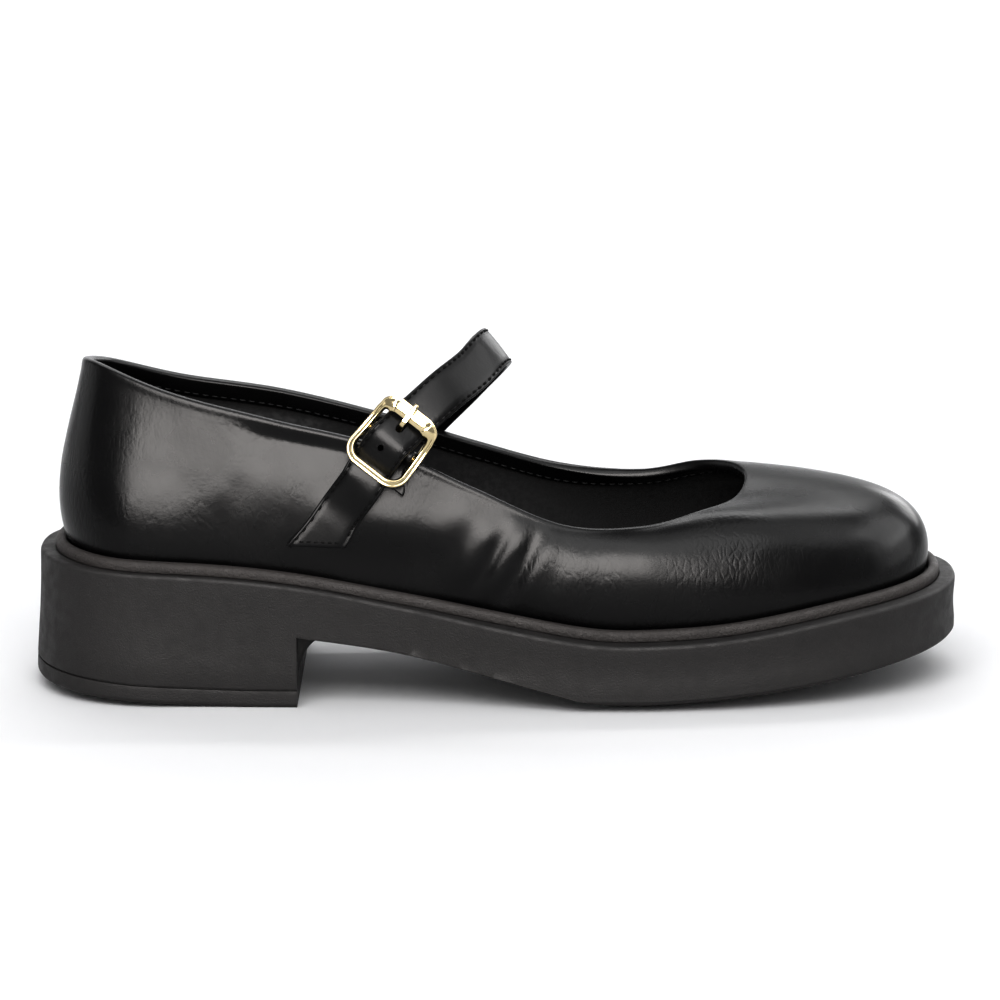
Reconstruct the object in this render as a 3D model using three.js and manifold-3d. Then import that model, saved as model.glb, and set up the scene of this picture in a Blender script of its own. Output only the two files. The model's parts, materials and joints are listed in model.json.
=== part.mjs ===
// Mary Jane shoe for the right foot: a moulded unit sole with a block heel, a lasted upper with
// its linings and stiffeners, and an instep strap with a centre-bar buckle.
//
// Millimetres. +X runs to the toe, +Y to the inner side of the foot, +Z up; the floor is z = 0.
// Lengthwise places are written as a distance s from the back of the sole.
import * as THREE from 'three';
import { mergeVertices } from 'three/addons/utils/BufferGeometryUtils.js';
import Module from 'manifold-3d';

const wasm = await Module();
wasm.setup();

// ---------------------------------------------------------------- driving sizes

const soleLength = 270;
const heelCapLength = 40;
const toeCapLength = 80;
const capPower = 2.3;
const toeSkew = 9;
const toeSkewStart = 60;
const outerSide = { sign: -1, heel: 36.5, waist: 37.5, waistAt: 85, ball: 49 };
const innerSide = { sign: 1, heel: 34, waist: 33, waistAt: 115, ball: 48 };

const heelHeight = 40.4;
const ballHeight = 20;
const toeHeight = 30;
const toeSpring = 11.2;
const toeSpringLength = 92;
const toeSpringPower = 1.5;

const heelBlockLength = 76.5;
const topLiftThickness = 5.2;
const heelFlare = 1.7;
const heelRocker = 3.4;
const heelRockerLength = 62;
const heelRockerPower = 1.3;
const waistThickness = 15;
const webLength = 10;
const webHeight = 14;
const webInset = 6;
const heelEdgeInset = 1;
const heelEdgeRise = 1;
const treadEdgeInset = 11;
const treadEdgeRise = 2.9;
const grooveDepth = 0.9;
const grooveWidth = 2.2;
const groovePitch = 9;
const grooveMargin = 9;

const ledgeAtBack = 4.5;
const ledgeAtHeel = 2.2;
const ledgeAtBall = 4.8;
const ledgeEdgeRadius = 0.8;
const weltWidth = 3;
const weltHeight = 2.6;
const featherLean = 1.2;

const gap = 0.3;
const leather = 1.2;
const liningThickness = 0.8;
const stiffenerThickness = 1.2;
const bindingThickness = 0.6;
const bindingDepth = 5;
const flangeWidth = 13;
const boardThickness = 1.6;
const foamThickness = 3;
const sockThickness = 0.8;
const shankWidth = 12;
const shankThickness = 1;
const shankStart = 36;
const shankEnd = 146;
const rivetPlaces = [52, 128];
const rivetRadius = 1.6;
const rivetHeadRadius = 3.2;
const rivetHeadThickness = 0.5;

const strapWidth = 12.8;
const strapFaceThickness = 0.6;
const strapCoreThickness = 0.4;
const strapBackingThickness = 0.6;
const strapLayerGap = 0.2;
const tipSlant = 5.5;
const holeRadius = 1.2;
const slotEnd = 7;
const faceSlotStart = 2.6;
const innerSlotStart = 1.8;
const spareHoleAt = [-3.3, 1.3];

const buckleLength = 22.8;
const buckleCorner = 4.6;
const armWidth = 2.3;
const strapSideRoom = 1.4;
const buckleWidth = strapWidth + 2 * (armWidth + strapSideRoom);
const topBarWidth = 3.2;
const ringThickness = 2;
const ringBow = 3.2;
const ringFlare = 0.05;
const barRadius = 0.9;
const pinRadius = 0.45;
const tabWidth = 14;
const tabLeather = 0.9;
const tabLength = 10;
const prongWidth = 1.5;
const prongThickness = 1;
const prongShift = 0.5;

// ---------------------------------------------------------------- small helpers

const perSide = 30;
const around = 2 * perSide;
const wallRows = 9;

const lerp = THREE.MathUtils.lerp;
const clamp01 = (value) => THREE.MathUtils.clamp(value, 0, 1);
const place = (s, y, z) => new THREE.Vector3(s - soleLength / 2, y, z);
const alongOf = (point) => point.x + soleLength / 2;
const range = (count) => Array.from({ length: count }, (_, index) => index);

function ease(value) {
  const u = clamp01(value);
  return u * u * u * (u * (6 * u - 15) + 10);
}

// A smooth function through points [position, value], straight beyond the ends.
function curveThrough(points) {
  const slope = (a, b) => (b[1] - a[1]) / (b[0] - a[0]);
  const last = points.length - 1;
  const tangent = (i) => {
    if (i === 0) return slope(points[0], points[1]);
    if (i === last) return slope(points[last - 1], points[last]);
    return slope(points[i - 1], points[i + 1]);
  };
  return (position) => {
    let i = 0;
    while (i < last - 1 && position > points[i + 1][0]) i += 1;
    const span = points[i + 1][0] - points[i][0];
    const u = clamp01((position - points[i][0]) / span);
    const a = points[i][1];
    const b = points[i + 1][1];
    const v = 1 - u;
    return a * v * v * (1 + 2 * u) + b * u * u * (3 - 2 * u)
      + span * u * v * (tangent(i) * v - tangent(i + 1) * u);
  };
}

// ---------------------------------------------------------------- closed bodies

function bodyFrom(points, faces) {
  const positions = points.flatMap((point) => [point.x, point.y, point.z]);
  let volume = 0;
  const cross = new THREE.Vector3();
  for (const [a, b, c] of faces) volume += points[a].dot(cross.crossVectors(points[b], points[c]));
  const outward = volume < 0 ? faces.map(([a, b, c]) => [a, c, b]) : faces;
  const geometry = new THREE.BufferGeometry();
  geometry.setAttribute('position', new THREE.Float32BufferAttribute(positions, 3));
  geometry.setIndex(outward.flat());
  geometry.computeVertexNormals();
  return geometry;
}

// Faces between neighbouring rings of points, each ring closed on itself. From the point where a
// ring turns back along its other face, the squares split the other way, so that both faces of a
// thin layer fold along the same lines.
function skinFaces(ringCount, ringLength, closedRun, turnsBackAt) {
  const faces = [];
  for (let a = 0; a < (closedRun ? ringCount : ringCount - 1); a += 1) {
    const next = (a + 1) % ringCount;
    for (let b = 0; b < ringLength; b += 1) {
      const up = (b + 1) % ringLength;
      const [p, q] = [a * ringLength + b, next * ringLength + b];
      const [r, w] = [next * ringLength + up, a * ringLength + up];
      if (b < turnsBackAt) faces.push([p, q, r], [p, r, w]);
      else faces.push([p, q, w], [q, r, w]);
    }
  }
  return faces;
}

// Faces that close one ring by pairing its points across: left[i] lies opposite right[i].
function zipFaces(left, right, reversed) {
  const faces = [];
  for (let i = 0; i + 1 < left.length; i += 1) {
    const quad = [left[i], left[i + 1], right[i + 1], right[i]];
    for (const face of [[quad[0], quad[1], quad[2]], [quad[0], quad[2], quad[3]]]) {
      if (new Set(face).size === 3) faces.push(reversed ? [face[0], face[2], face[1]] : face);
    }
  }
  return faces;
}

// A body whose rings run all the way round and meet again.
const hoopBody = (rings, turnsBackAt = Infinity) => bodyFrom(
  rings.flat(),
  skinFaces(rings.length, rings[0].length, true, turnsBackAt),
);

// A body of band-shaped rings (one face out, then back along the other face) with closed ends.
function bandBody(rings) {
  const length = rings[0].length;
  const half = length / 2;
  const left = range(half);
  const right = range(half).map((i) => length - 1 - i);
  const shift = (list) => list.map((i) => i + (rings.length - 1) * length);
  const faces = skinFaces(rings.length, length, false, half);
  faces.push(...zipFaces(left, right, false), ...zipFaces(shift(left), shift(right), true));
  return bodyFrom(rings.flat(), faces);
}

// A body of stacked outline rings, closed straight across from the outer to the inner side.
function plateBody(rings) {
  const left = range(perSide + 1);
  const right = left.map((i) => (around - i) % around);
  const shift = (list) => list.map((i) => i + (rings.length - 1) * around);
  const faces = skinFaces(rings.length, around, false, Infinity);
  faces.push(...zipFaces(left, right, false), ...zipFaces(shift(left), shift(right), true));
  return bodyFrom(rings.flat(), faces);
}

// ---------------------------------------------------------------- cutting and joining

function solidOf(geometry) {
  const bare = geometry.clone();
  bare.deleteAttribute('normal');
  bare.deleteAttribute('uv');
  const merged = mergeVertices(bare, 1e-4);
  return new wasm.Manifold(new wasm.Mesh({
    numProp: 3,
    vertProperties: new Float32Array(merged.attributes.position.array),
    triVerts: new Uint32Array(merged.index.array),
  }));
}

function geometryOf(solid) {
  const mesh = solid.getMesh();
  const geometry = new THREE.BufferGeometry();
  geometry.setAttribute('position', new THREE.BufferAttribute(new Float32Array(mesh.vertProperties), 3));
  geometry.setIndex(new THREE.BufferAttribute(new Uint32Array(mesh.triVerts), 1));
  geometry.computeVertexNormals();
  return geometry;
}

const cut = (geometry, tools) => geometryOf(
  tools.reduce((solid, tool) => solid.subtract(solidOf(tool)), solidOf(geometry)),
);
const join = (geometry, tool) => geometryOf(solidOf(geometry).add(solidOf(tool)));
const common = (geometry, tool) => geometryOf(solidOf(geometry).intersect(solidOf(tool)));

// A profile of [s, z] points or a ready Shape in the lengthwise upright plane, given a width in y.
function sideProfile(shape, from, to) {
  const options = { depth: to - from, bevelEnabled: false, curveSegments: 10 };
  const geometry = new THREE.ExtrudeGeometry(shape, options);
  geometry.rotateX(Math.PI / 2);
  geometry.translate(-soleLength / 2, to, 0);
  return geometry;
}

function block(sFrom, sTo, yFrom, yTo, zFrom, zTo) {
  const geometry = new THREE.BoxGeometry(sTo - sFrom, yTo - yFrom, zTo - zFrom);
  const centre = place((sFrom + sTo) / 2, (yFrom + yTo) / 2, (zFrom + zTo) / 2);
  return geometry.translate(centre.x, centre.y, centre.z);
}

// ---------------------------------------------------------------- outline and heights

const toeStart = soleLength - toeCapLength;

// A place round the outline is a turn t: 0 at the back, up the outer side to 1 at the toe,
// and down the inner side to 2 at the back again.
const sideOf = (t) => (t <= 1 ? outerSide : innerSide);
const fractionOf = (t) => (t <= 1 ? t : 2 - t);
const heelShare = 0.2;
const toeShare = 0.3;

function outlineAt(turn) {
  const t = ((turn % 2) + 2) % 2;
  const side = sideOf(t);
  const v = fractionOf(t);
  const cap = 2 / capPower;
  let s = lerp(heelCapLength, toeStart, (v - heelShare) / (1 - heelShare - toeShare));
  let width = side.waist + (side.ball - side.waist) * ease((s - side.waistAt) / (toeStart - side.waistAt));
  if (s < side.waistAt) {
    width = lerp(side.heel, side.waist, ease((s - heelCapLength) / (side.waistAt - heelCapLength)));
  }
  if (v < heelShare) {
    const angle = (v / heelShare) * Math.PI / 2;
    s = heelCapLength * (1 - Math.cos(angle) ** cap);
    width = side.heel * Math.sin(angle) ** cap;
  } else if (v > 1 - toeShare) {
    const angle = ((1 - v) / toeShare) * Math.PI / 2;
    s = toeStart + toeCapLength * Math.max(Math.cos(angle), 0) ** cap;
    width = side.ball * Math.sin(angle) ** cap;
  }
  const skew = toeSkew * ease((s - toeSkewStart) / (soleLength - toeSkewStart));
  return new THREE.Vector2(s, side.sign * width + skew);
}

function outwardAt(t) {
  const step = 2e-3;
  const along = outlineAt(t + step).sub(outlineAt(t - step)).normalize();
  return new THREE.Vector2(along.y, -along.x);
}

// The outline moved inwards by an inset, as a point (s, y).
const insetAt = (t, inset) => outlineAt(t).addScaledVector(outwardAt(t), -inset);

const turnOf = (index) => index / perSide;
const turns = range(around).map(turnOf);

// Height of the sole's top face and of the tread, by distance from the back.
const bed = curveThrough([
  [0, heelHeight], [47, heelHeight - 1.8], [76, heelHeight - 4.5],
  [106, lerp(ballHeight, heelHeight, 0.5)],
  [135, lerp(ballHeight, heelHeight, 0.22)], [163, ballHeight + 0.2], [soleLength - 86, ballHeight + 0.1],
  [soleLength - 66, ballHeight + 1.6], [soleLength - 32, lerp(ballHeight, toeHeight, 0.66)],
  [soleLength, toeHeight],
]);

function floorAt(s) {
  const spring = clamp01((s - soleLength + toeSpringLength) / toeSpringLength);
  const rocker = clamp01(1 - s / heelRockerLength);
  return toeSpring * spring ** toeSpringPower + heelRocker * rocker ** heelRockerPower;
}

// A ring of points over the outline, moved in by inset(t) and lifted by height(s, t).
const ringOf = (inset, height) => turns.map((t) => {
  const p = insetAt(t, typeof inset === 'function' ? inset(t) : inset);
  return place(p.x, p.y, height(p.x, t));
});

function ledgeAt(t) {
  const s = outlineAt(t).x;
  if (s < heelBlockLength) return lerp(ledgeAtBack, ledgeAtHeel, ease(s / (heelCapLength * 0.7)));
  return lerp(ledgeAtHeel, ledgeAtBall, ease((s - heelBlockLength) / (toeStart - 30 - heelBlockLength)));
}

// The upper leans out over the welt, so its foot stands a little further in.
const featherInset = (t) => ledgeAt(t) + weltWidth + gap + featherLean;

// ---------------------------------------------------------------- unit sole

const breastHeight = bed(heelBlockLength) - waistThickness;

function soleBlock() {
  const alongTread = (t) => ease((outlineAt(t).x - heelBlockLength - 5) / 50);
  const flare = (t) => -heelFlare * ease(1 - outlineAt(t).x / heelBlockLength);
  const inset = (t) => lerp(heelEdgeInset, treadEdgeInset, alongTread(t));
  const rise = (t) => lerp(heelEdgeRise, treadEdgeRise, alongTread(t));
  return plateBody([
    ringOf((t) => flare(t) + inset(t), (s) => floorAt(s)),
    ringOf((t) => flare(t) + 0.4 * inset(t), (s, t) => floorAt(s) + 0.45 * rise(t)),
    ringOf((t) => flare(t) + 0.08 * inset(t), (s, t) => floorAt(s) + 0.85 * rise(t)),
    ringOf((t) => flare(t), (s, t) => floorAt(s) + rise(t) + 0.8),
    ringOf((t) => 0.3 * flare(t) + 0.5, (s) => lerp(floorAt(s), bed(s), 0.6)),
    ringOf(0, (s) => bed(s) - 3),
    ringOf(0, (s) => bed(s) - ledgeEdgeRadius),
    ringOf(0.3 * ledgeEdgeRadius, (s) => bed(s) - 0.3 * ledgeEdgeRadius),
    ringOf(ledgeEdgeRadius, (s) => bed(s)),
  ]);
}

// The open arch between the heel breast and the tread.
function archCutter() {
  const shape = new THREE.Shape();
  shape.moveTo(heelBlockLength, -5);
  shape.lineTo(heelBlockLength, breastHeight);
  shape.splineThru([
    new THREE.Vector2(106, bed(106) - waistThickness + 1),
    new THREE.Vector2(135, bed(135) - waistThickness - 0.4),
    new THREE.Vector2(154, 4.2),
    new THREE.Vector2(174, -1),
    new THREE.Vector2(178, -5),
  ]);
  shape.closePath();
  return sideProfile(shape, -90, 90);
}

// The curved web that stiffens the corner behind the heel breast.
function breastWeb() {
  const overlap = 2;
  const shape = new THREE.Shape();
  shape.moveTo(heelBlockLength - overlap, breastHeight - webHeight);
  shape.lineTo(heelBlockLength, breastHeight - webHeight);
  shape.quadraticCurveTo(
    heelBlockLength + 1.2, breastHeight - 2,
    heelBlockLength + webLength, breastHeight - 1,
  );
  shape.lineTo(heelBlockLength + webLength, breastHeight + overlap);
  shape.lineTo(heelBlockLength - overlap, breastHeight + overlap);
  shape.closePath();
  return sideProfile(shape, webInset - outerSide.heel, innerSide.heel - webInset);
}

const archedSole = join(cut(soleBlock(), [archCutter()]), breastWeb());

function grooves(from, to) {
  const count = Math.floor((to - from) / groovePitch) + 1;
  return range(count).map((i) => {
    const s = from + i * groovePitch;
    const reach = (side) => {
      const t = turns.find((turn) => sideOf(turn) === side && Math.abs(outlineAt(turn).x - s) < 12);
      return Math.abs(outlineAt(t).y) - grooveMargin;
    };
    const bottom = Math.max(floorAt(s - grooveWidth / 2), floorAt(s + grooveWidth / 2));
    return block(s - grooveWidth / 2, s + grooveWidth / 2, -reach(outerSide), reach(innerSide),
      bottom - 3, bottom + grooveDepth);
  });
}

// What stands square to the sloping bed, such as a rivet and its holes.
function squareToBed(geometry, s) {
  geometry.rotateX(Math.PI / 2);
  geometry.rotateY(-Math.atan((bed(s + 5) - bed(s - 5)) / 10));
  const foot = place(s, 0, bed(s));
  return geometry.translate(foot.x, foot.y, foot.z);
}

const upright = (radius, height, s, z) => squareToBed(
  new THREE.CylinderGeometry(radius, radius, height, 20).translate(0, z + height / 2, 0),
  s,
);

const rivetPockets = rivetPlaces.map((s) => upright(rivetHeadRadius + 1, 4, s, -2));

// The slice of the heel below a line that runs parallel to its underside.
function heelSlice(thickness, end) {
  const shape = new THREE.Shape();
  shape.moveTo(end, -5);
  shape.lineTo(end, floorAt(end) + thickness);
  for (const share of range(7)) {
    const s = heelRockerLength * (1 - share / 6);
    shape.lineTo(s, floorAt(s) + thickness);
  }
  shape.lineTo(-10, floorAt(0) + thickness);
  shape.lineTo(-10, -5);
  shape.closePath();
  return sideProfile(shape, -90, 90);
}

const outsole = cut(archedSole, [
  heelSlice(topLiftThickness + gap, heelBlockLength + 0.01),
  ...grooves(190, soleLength - 30),
  ...rivetPockets,
]);

const heelTopLift = cut(
  common(archedSole, heelSlice(topLiftThickness, heelBlockLength - 0.01)),
  grooves(22, 58),
);

function weltStrip() {
  const rings = turns.map((t) => {
    const level = (inset, lift) => {
      const p = insetAt(t, ledgeAt(t) + inset);
      return place(p.x, p.y, bed(p.x) + lift);
    };
    return [
      level(0, gap), level(0, gap + 0.55 * weltHeight),
      level(0.3 * weltWidth, gap + weltHeight), level(0.7 * weltWidth, gap + weltHeight),
      level(weltWidth, gap + 0.7 * weltHeight), level(weltWidth, gap),
    ];
  });
  return hoopBody(rings);
}

// ---------------------------------------------------------------- lasted shell

// One rib of the upper at each tenth of a side. A rib is a cubic curve from the feather line
// to the topline. shift, inset and rise place the topline end from the outline's own point;
// low = [out, up] and high = [out, forward, up] are the curve's two handles.
const backRib = { shift: 13.3, side: 0, rise: 54.8, low: [8, 16], high: [3.5, 0, -18] };
const toeRib = { shift: -62, side: 6.5, rise: 29.2, low: [7, 24], high: [0, 36, 0.2] };
const outerRibs = [
  { shift: 9.6, inset: 14, rise: 55, low: [6, 16], high: [4, 0, -18] },
  { shift: 1, inset: 16, rise: 49.2, low: [3, 16], high: [3.5, 0, -16] },
  { shift: 0, inset: 12.8, rise: 44.7, low: [2.5, 15], high: [3, 0, -14] },
  { shift: -1, inset: 11.3, rise: 43.2, low: [3, 14], high: [3, 0, -14] },
  { shift: -3, inset: 12.1, rise: 37.1, low: [3.5, 12], high: [3.5, 0, -11] },
  { shift: -7, inset: 14.8, rise: 31.4, low: [4, 11], high: [6, 0, -7] },
  { shift: -14, inset: 16.6, rise: 30.7, low: [3.5, 12], high: [8, 3, -3] },
  { shift: -40.8, inset: 16.5, rise: 27.9, low: [3, 14], high: [5, 15, 1.5] },
  { shift: -56.4, inset: 11.8, rise: 26.4, low: [5, 21], high: [2, 28, 2] },
];
const innerRibs = [
  { shift: 9.6, inset: 9.7, rise: 51.9, low: [6, 16], high: [4, 0, -18] },
  { shift: 1, inset: 11.7, rise: 46.8, low: [3, 16], high: [3.5, 0, -16] },
  { shift: 0, inset: 9.7, rise: 44.4, low: [2.5, 15], high: [3, 0, -14] },
  { shift: -1, inset: 7.2, rise: 42, low: [2.5, 14], high: [3, 0, -14] },
  { shift: -2, inset: 5.8, rise: 38.4, low: [2.5, 12], high: [4, 0, -12] },
  { shift: -7, inset: 14.3, rise: 36.1, low: [3.5, 12], high: [6, 0, -9] },
  { shift: -13, inset: 22.4, rise: 34.6, low: [3.5, 12], high: [10, 3, -4.5] },
  { shift: -39.8, inset: 23.6, rise: 32.7, low: [3, 14], high: [8, 15, -2.5] },
  { shift: -56.6, inset: 18.3, rise: 31.5, low: [5, 21], high: [3, 28, -1.2] },
];
const ribs = [backRib, ...outerRibs, toeRib, ...innerRibs.slice().reverse()];
const ribTurns = range(20).map((i) => i / 10);

function toplineEnd(rib, t) {
  const corner = outlineAt(t);
  const side = sideOf(t);
  const y = rib.side ?? corner.y - side.sign * rib.inset;
  return place(corner.x + rib.shift, y, bed(corner.x) + rib.rise);
}

const closedCurve = (points) => new THREE.CatmullRomCurve3(points, true, 'catmullrom', 0.5);
const toplineCurve = closedCurve(ribs.map((rib, i) => toplineEnd(rib, ribTurns[i])));
const lowHandles = closedCurve(ribs.map((rib) => new THREE.Vector3(rib.low[0], 0, rib.low[1])));
const highHandles = closedCurve(ribs.map((rib) => new THREE.Vector3(...rib.high)));

function ribAt(turn) {
  const t = ((turn % 2) + 2) % 2;
  const out = outwardAt(t);
  const foot = insetAt(t, featherInset(t));
  const low = lowHandles.getPoint(t / 2);
  const high = highHandles.getPoint(t / 2);
  const p0 = place(foot.x, foot.y, bed(foot.x) + gap);
  const p3 = toplineCurve.getPoint(t / 2);
  const p1 = p0.clone().add(new THREE.Vector3(out.x * low.x, out.y * low.x, low.z));
  const p2 = p3.clone().add(new THREE.Vector3(out.x * high.x + high.y, out.y * high.x, high.z));
  return new THREE.CubicBezierCurve3(p0, p1, p2, p3);
}

const ribCache = new Map();
function cachedRib(t) {
  if (!ribCache.has(t)) ribCache.set(t, ribAt(t));
  return ribCache.get(t);
}

// A point of the shell: turn t round the foot, height r from 0 at the feather line to 1 at the
// topline, and depth measured inwards from the upper's outer face.
function shellNormal(t, r) {
  const stepT = 4e-3;
  const stepR = 0.01;
  const low = clamp01(r - stepR);
  const high = clamp01(r + stepR);
  const along = cachedRib(t + stepT).getPoint(r).sub(cachedRib(t - stepT).getPoint(r));
  const up = cachedRib(t).getPoint(high).sub(cachedRib(t).getPoint(low));
  return along.cross(up).normalize();
}

const shellPoint = (t, r, depth) => cachedRib(t).getPoint(r).addScaledVector(shellNormal(t, r), -depth);

// The last row but one lies where the topline binding ends, so every layer bends at the same rows.
function rowsAt(t) {
  const rib = cachedRib(t);
  const speed = 3 * rib.v3.distanceTo(rib.v2);
  const bindingRow = 1 - bindingDepth / Math.max(speed, 4 * bindingDepth);
  return [...range(wallRows + 1).map((i) => bindingRow * i / wallRows), 1];
}

const rowTable = turns.map(rowsAt);
const rowCount = wallRows + 2;

const upperDepth = leather;
const stiffenerDepth = upperDepth + gap;
const plainLiningDepth = upperDepth + gap;
const deepLiningDepth = stiffenerDepth + stiffenerThickness + gap;

const counterReach = 9;
const counterTopRow = 7;
const puffReach = 6;
const puffTopRow = 6;
const stiffenerFirstRow = 1;

const fromBack = (index) => Math.min(index, around - index);
const fromToe = (index) => Math.abs(index - perSide);

function overStiffener(index, row) {
  const heel = fromBack(index) <= counterReach && row <= counterTopRow;
  const toe = fromToe(index) <= puffReach && row <= puffTopRow;
  return heel || toe;
}

const liningDepth = (index, row) => (overStiffener(index, row) ? deepLiningDepth : plainLiningDepth);
const bindingInside = plainLiningDepth + liningThickness + gap;

const flangeTop = (s) => bed(s) + gap + leather;
const footOf = (t, depth, height) => {
  const p = shellPoint(t, 0, depth);
  return p.setZ(height(alongOf(p)));
};
const onFlange = (t, inset, height) => {
  const p = insetAt(t, featherInset(t) + inset);
  return place(p.x, p.y, height(p.x));
};

function upperShell() {
  const rings = turns.map((t, index) => {
    const rows = rowTable[index];
    const outside = rows.map((r) => shellPoint(t, r, 0));
    const inside = rows.slice(1).reverse().map((r) => shellPoint(t, r, upperDepth));
    return [
      ...outside, ...inside,
      footOf(t, upperDepth, flangeTop),
      onFlange(t, flangeWidth, flangeTop),
      onFlange(t, flangeWidth, (s) => bed(s) + gap),
    ];
  });
  return hoopBody(rings, rowCount);
}

// A layer over part of the shell, between two depths, closed at its ends.
function shellLayer(indexes, rows, depthOf, thickness) {
  const rings = indexes.map((raw) => {
    const index = (raw + around) % around;
    const t = turnOf(index);
    const at = (row, extra) => shellPoint(t, rowTable[index][row], depthOf(index, row) + extra);
    return [...rows.map((row) => at(row, 0)), ...rows.slice().reverse().map((row) => at(row, thickness))];
  });
  return bandBody(rings);
}

const span = (from, to) => range(to - from + 1).map((i) => from + i);
const heelCounter = shellLayer(
  span(-counterReach, counterReach),
  span(stiffenerFirstRow, counterTopRow),
  () => stiffenerDepth,
  stiffenerThickness,
);
const toePuff = shellLayer(
  span(perSide - puffReach, perSide + puffReach),
  span(stiffenerFirstRow, puffTopRow),
  () => stiffenerDepth,
  stiffenerThickness,
);

// Linings run from the insole to the topline; their foot stands just above the turned flange.
function liningPart(indexes, endTurns) {
  const rings = indexes.map((raw, i) => {
    const index = (raw + around) % around;
    const t = endTurns[i] ?? turnOf(index);
    const rows = rowTable[index];
    const foot = (extra) => footOf(t, liningDepth(index, 0) + extra, (s) => flangeTop(s) + gap);
    const at = (row, extra) => shellPoint(t, rows[row], liningDepth(index, row) + extra);
    const wall = span(1, rowCount - 1);
    return [
      foot(0), ...wall.map((row) => at(row, 0)),
      ...wall.slice().reverse().map((row) => at(row, liningThickness)), foot(liningThickness),
    ];
  });
  return bandBody(rings);
}

const liningSeam = 17;
const seamGapTurn = 0.006;
const quarterIndexes = span(-liningSeam, liningSeam);
const vampIndexes = span(liningSeam, around - liningSeam);
const quarterLining = liningPart(quarterIndexes, {
  0: 2 - turnOf(liningSeam) + seamGapTurn,
  [quarterIndexes.length - 1]: turnOf(liningSeam) - seamGapTurn,
});
const vampLining = liningPart(vampIndexes, {});

function toplineBinding() {
  const rings = turns.map((t, index) => {
    const rib = cachedRib(t);
    const up = rib.getTangent(1);
    const above = (depth, height) => shellPoint(t, 1, depth).addScaledVector(up, height);
    const lower = rowTable[index][rowCount - 2];
    const inner = bindingInside + bindingThickness;
    return [
      above(0, gap), above(0, gap + bindingThickness), above(inner, gap + bindingThickness),
      shellPoint(t, 1, inner), shellPoint(t, lower, inner), shellPoint(t, lower, bindingInside),
      shellPoint(t, 1, bindingInside), above(bindingInside, gap),
    ];
  });
  return hoopBody(rings);
}

// ---------------------------------------------------------------- inside the bottom

const boardInset = (t) => featherInset(t) + deepLiningDepth + liningThickness + 0.6;
const boardLevel = gap + leather + gap;
const foamLevel = boardLevel + boardThickness + gap;
const sockLevel = foamLevel + foamThickness + gap;

const sheet = (level, thickness, inset) => plateBody([
  ringOf(inset, (s) => bed(s) + level),
  ringOf(inset, (s) => bed(s) + level + thickness),
]);

const rivetHoles = (radius) => rivetPlaces.map((s) => upright(radius, 12, s, -4));
const boardPockets = rivetPlaces.map((s) => upright(rivetHeadRadius + gap, 4,
  s, boardLevel + boardThickness - rivetHeadThickness - gap));
const insoleBoard = cut(sheet(boardLevel, boardThickness, boardInset),
  [...rivetHoles(rivetRadius + gap), ...boardPockets]);
const sockFoam = sheet(foamLevel, foamThickness, boardInset);
const sockCover = sheet(sockLevel, sockThickness, boardInset);

// A strip along the bottom between two distances, following the bed.
function bedStrip(from, to, halfWidth, level, thickness, steps) {
  const rings = range(steps + 1).map((i) => {
    const s = lerp(from, to, i / steps);
    const w = halfWidth(s, i / steps);
    return [
      place(s, -w, bed(s) + level), place(s, w, bed(s) + level),
      place(s, w, bed(s) + level + thickness), place(s, -w, bed(s) + level + thickness),
    ];
  });
  return bandBody(rings);
}

const shankEnds = (share) => shankWidth / 2 * Math.min(1, 0.55 + 4 * Math.min(share, 1 - share));
const shankLevel = gap + 0.2;
const shank = cut(
  bedStrip(shankStart, shankEnd, (s, share) => shankEnds(share), shankLevel, shankThickness, 14),
  rivetHoles(rivetRadius + gap),
);

const fillerStart = shankEnd + 2;
const fillerEnd = soleLength - 34;
const fillerHalfWidth = 19;
const fillerShape = (s, share) => fillerHalfWidth
  * Math.min(1, 3.4 * share + 0.6)
  * Math.sqrt(Math.max(1 - share ** 3, 0.12));
const forefootFiller = bedStrip(fillerStart, fillerEnd, fillerShape, gap, leather, 12);

function rivet(s) {
  const top = boardLevel + boardThickness;
  const foot = shankLevel - gap;
  const turned = new THREE.LatheGeometry([
    new THREE.Vector2(0, foot - rivetHeadThickness),
    new THREE.Vector2(rivetHeadRadius, foot - rivetHeadThickness),
    new THREE.Vector2(rivetHeadRadius, foot),
    new THREE.Vector2(rivetRadius, foot),
    new THREE.Vector2(rivetRadius, top - rivetHeadThickness),
    new THREE.Vector2(rivetHeadRadius, top - rivetHeadThickness),
    new THREE.Vector2(rivetHeadRadius, top),
    new THREE.Vector2(0, top),
  ], 20);
  return squareToBed(turned, s);
}

// ---------------------------------------------------------------- buckle frame of reference

// Where a side view point (s, z) meets the upper's outer face, on either side of the foot.
function onUpper(s, z, startTurn) {
  let t = startTurn;
  let r = 0.7;
  for (let i = 0; i < 12; i += 1) {
    const here = ribAt(t).getPoint(r);
    const alongT = ribAt(t + 1e-3).getPoint(r).sub(here).multiplyScalar(1e3);
    const alongR = ribAt(t).getPoint(r + 1e-3).sub(here).multiplyScalar(1e3);
    const ds = s - alongOf(here);
    const dz = z - here.z;
    const det = alongT.x * alongR.z - alongR.x * alongT.z;
    t += (ds * alongR.z - alongR.x * dz) / det;
    r += (alongT.x * dz - ds * alongT.z) / det;
    r = THREE.MathUtils.clamp(r, 0.02, 0.98);
  }
  return { point: ribAt(t).getPoint(r), normal: shellNormal(t, r) };
}

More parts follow.
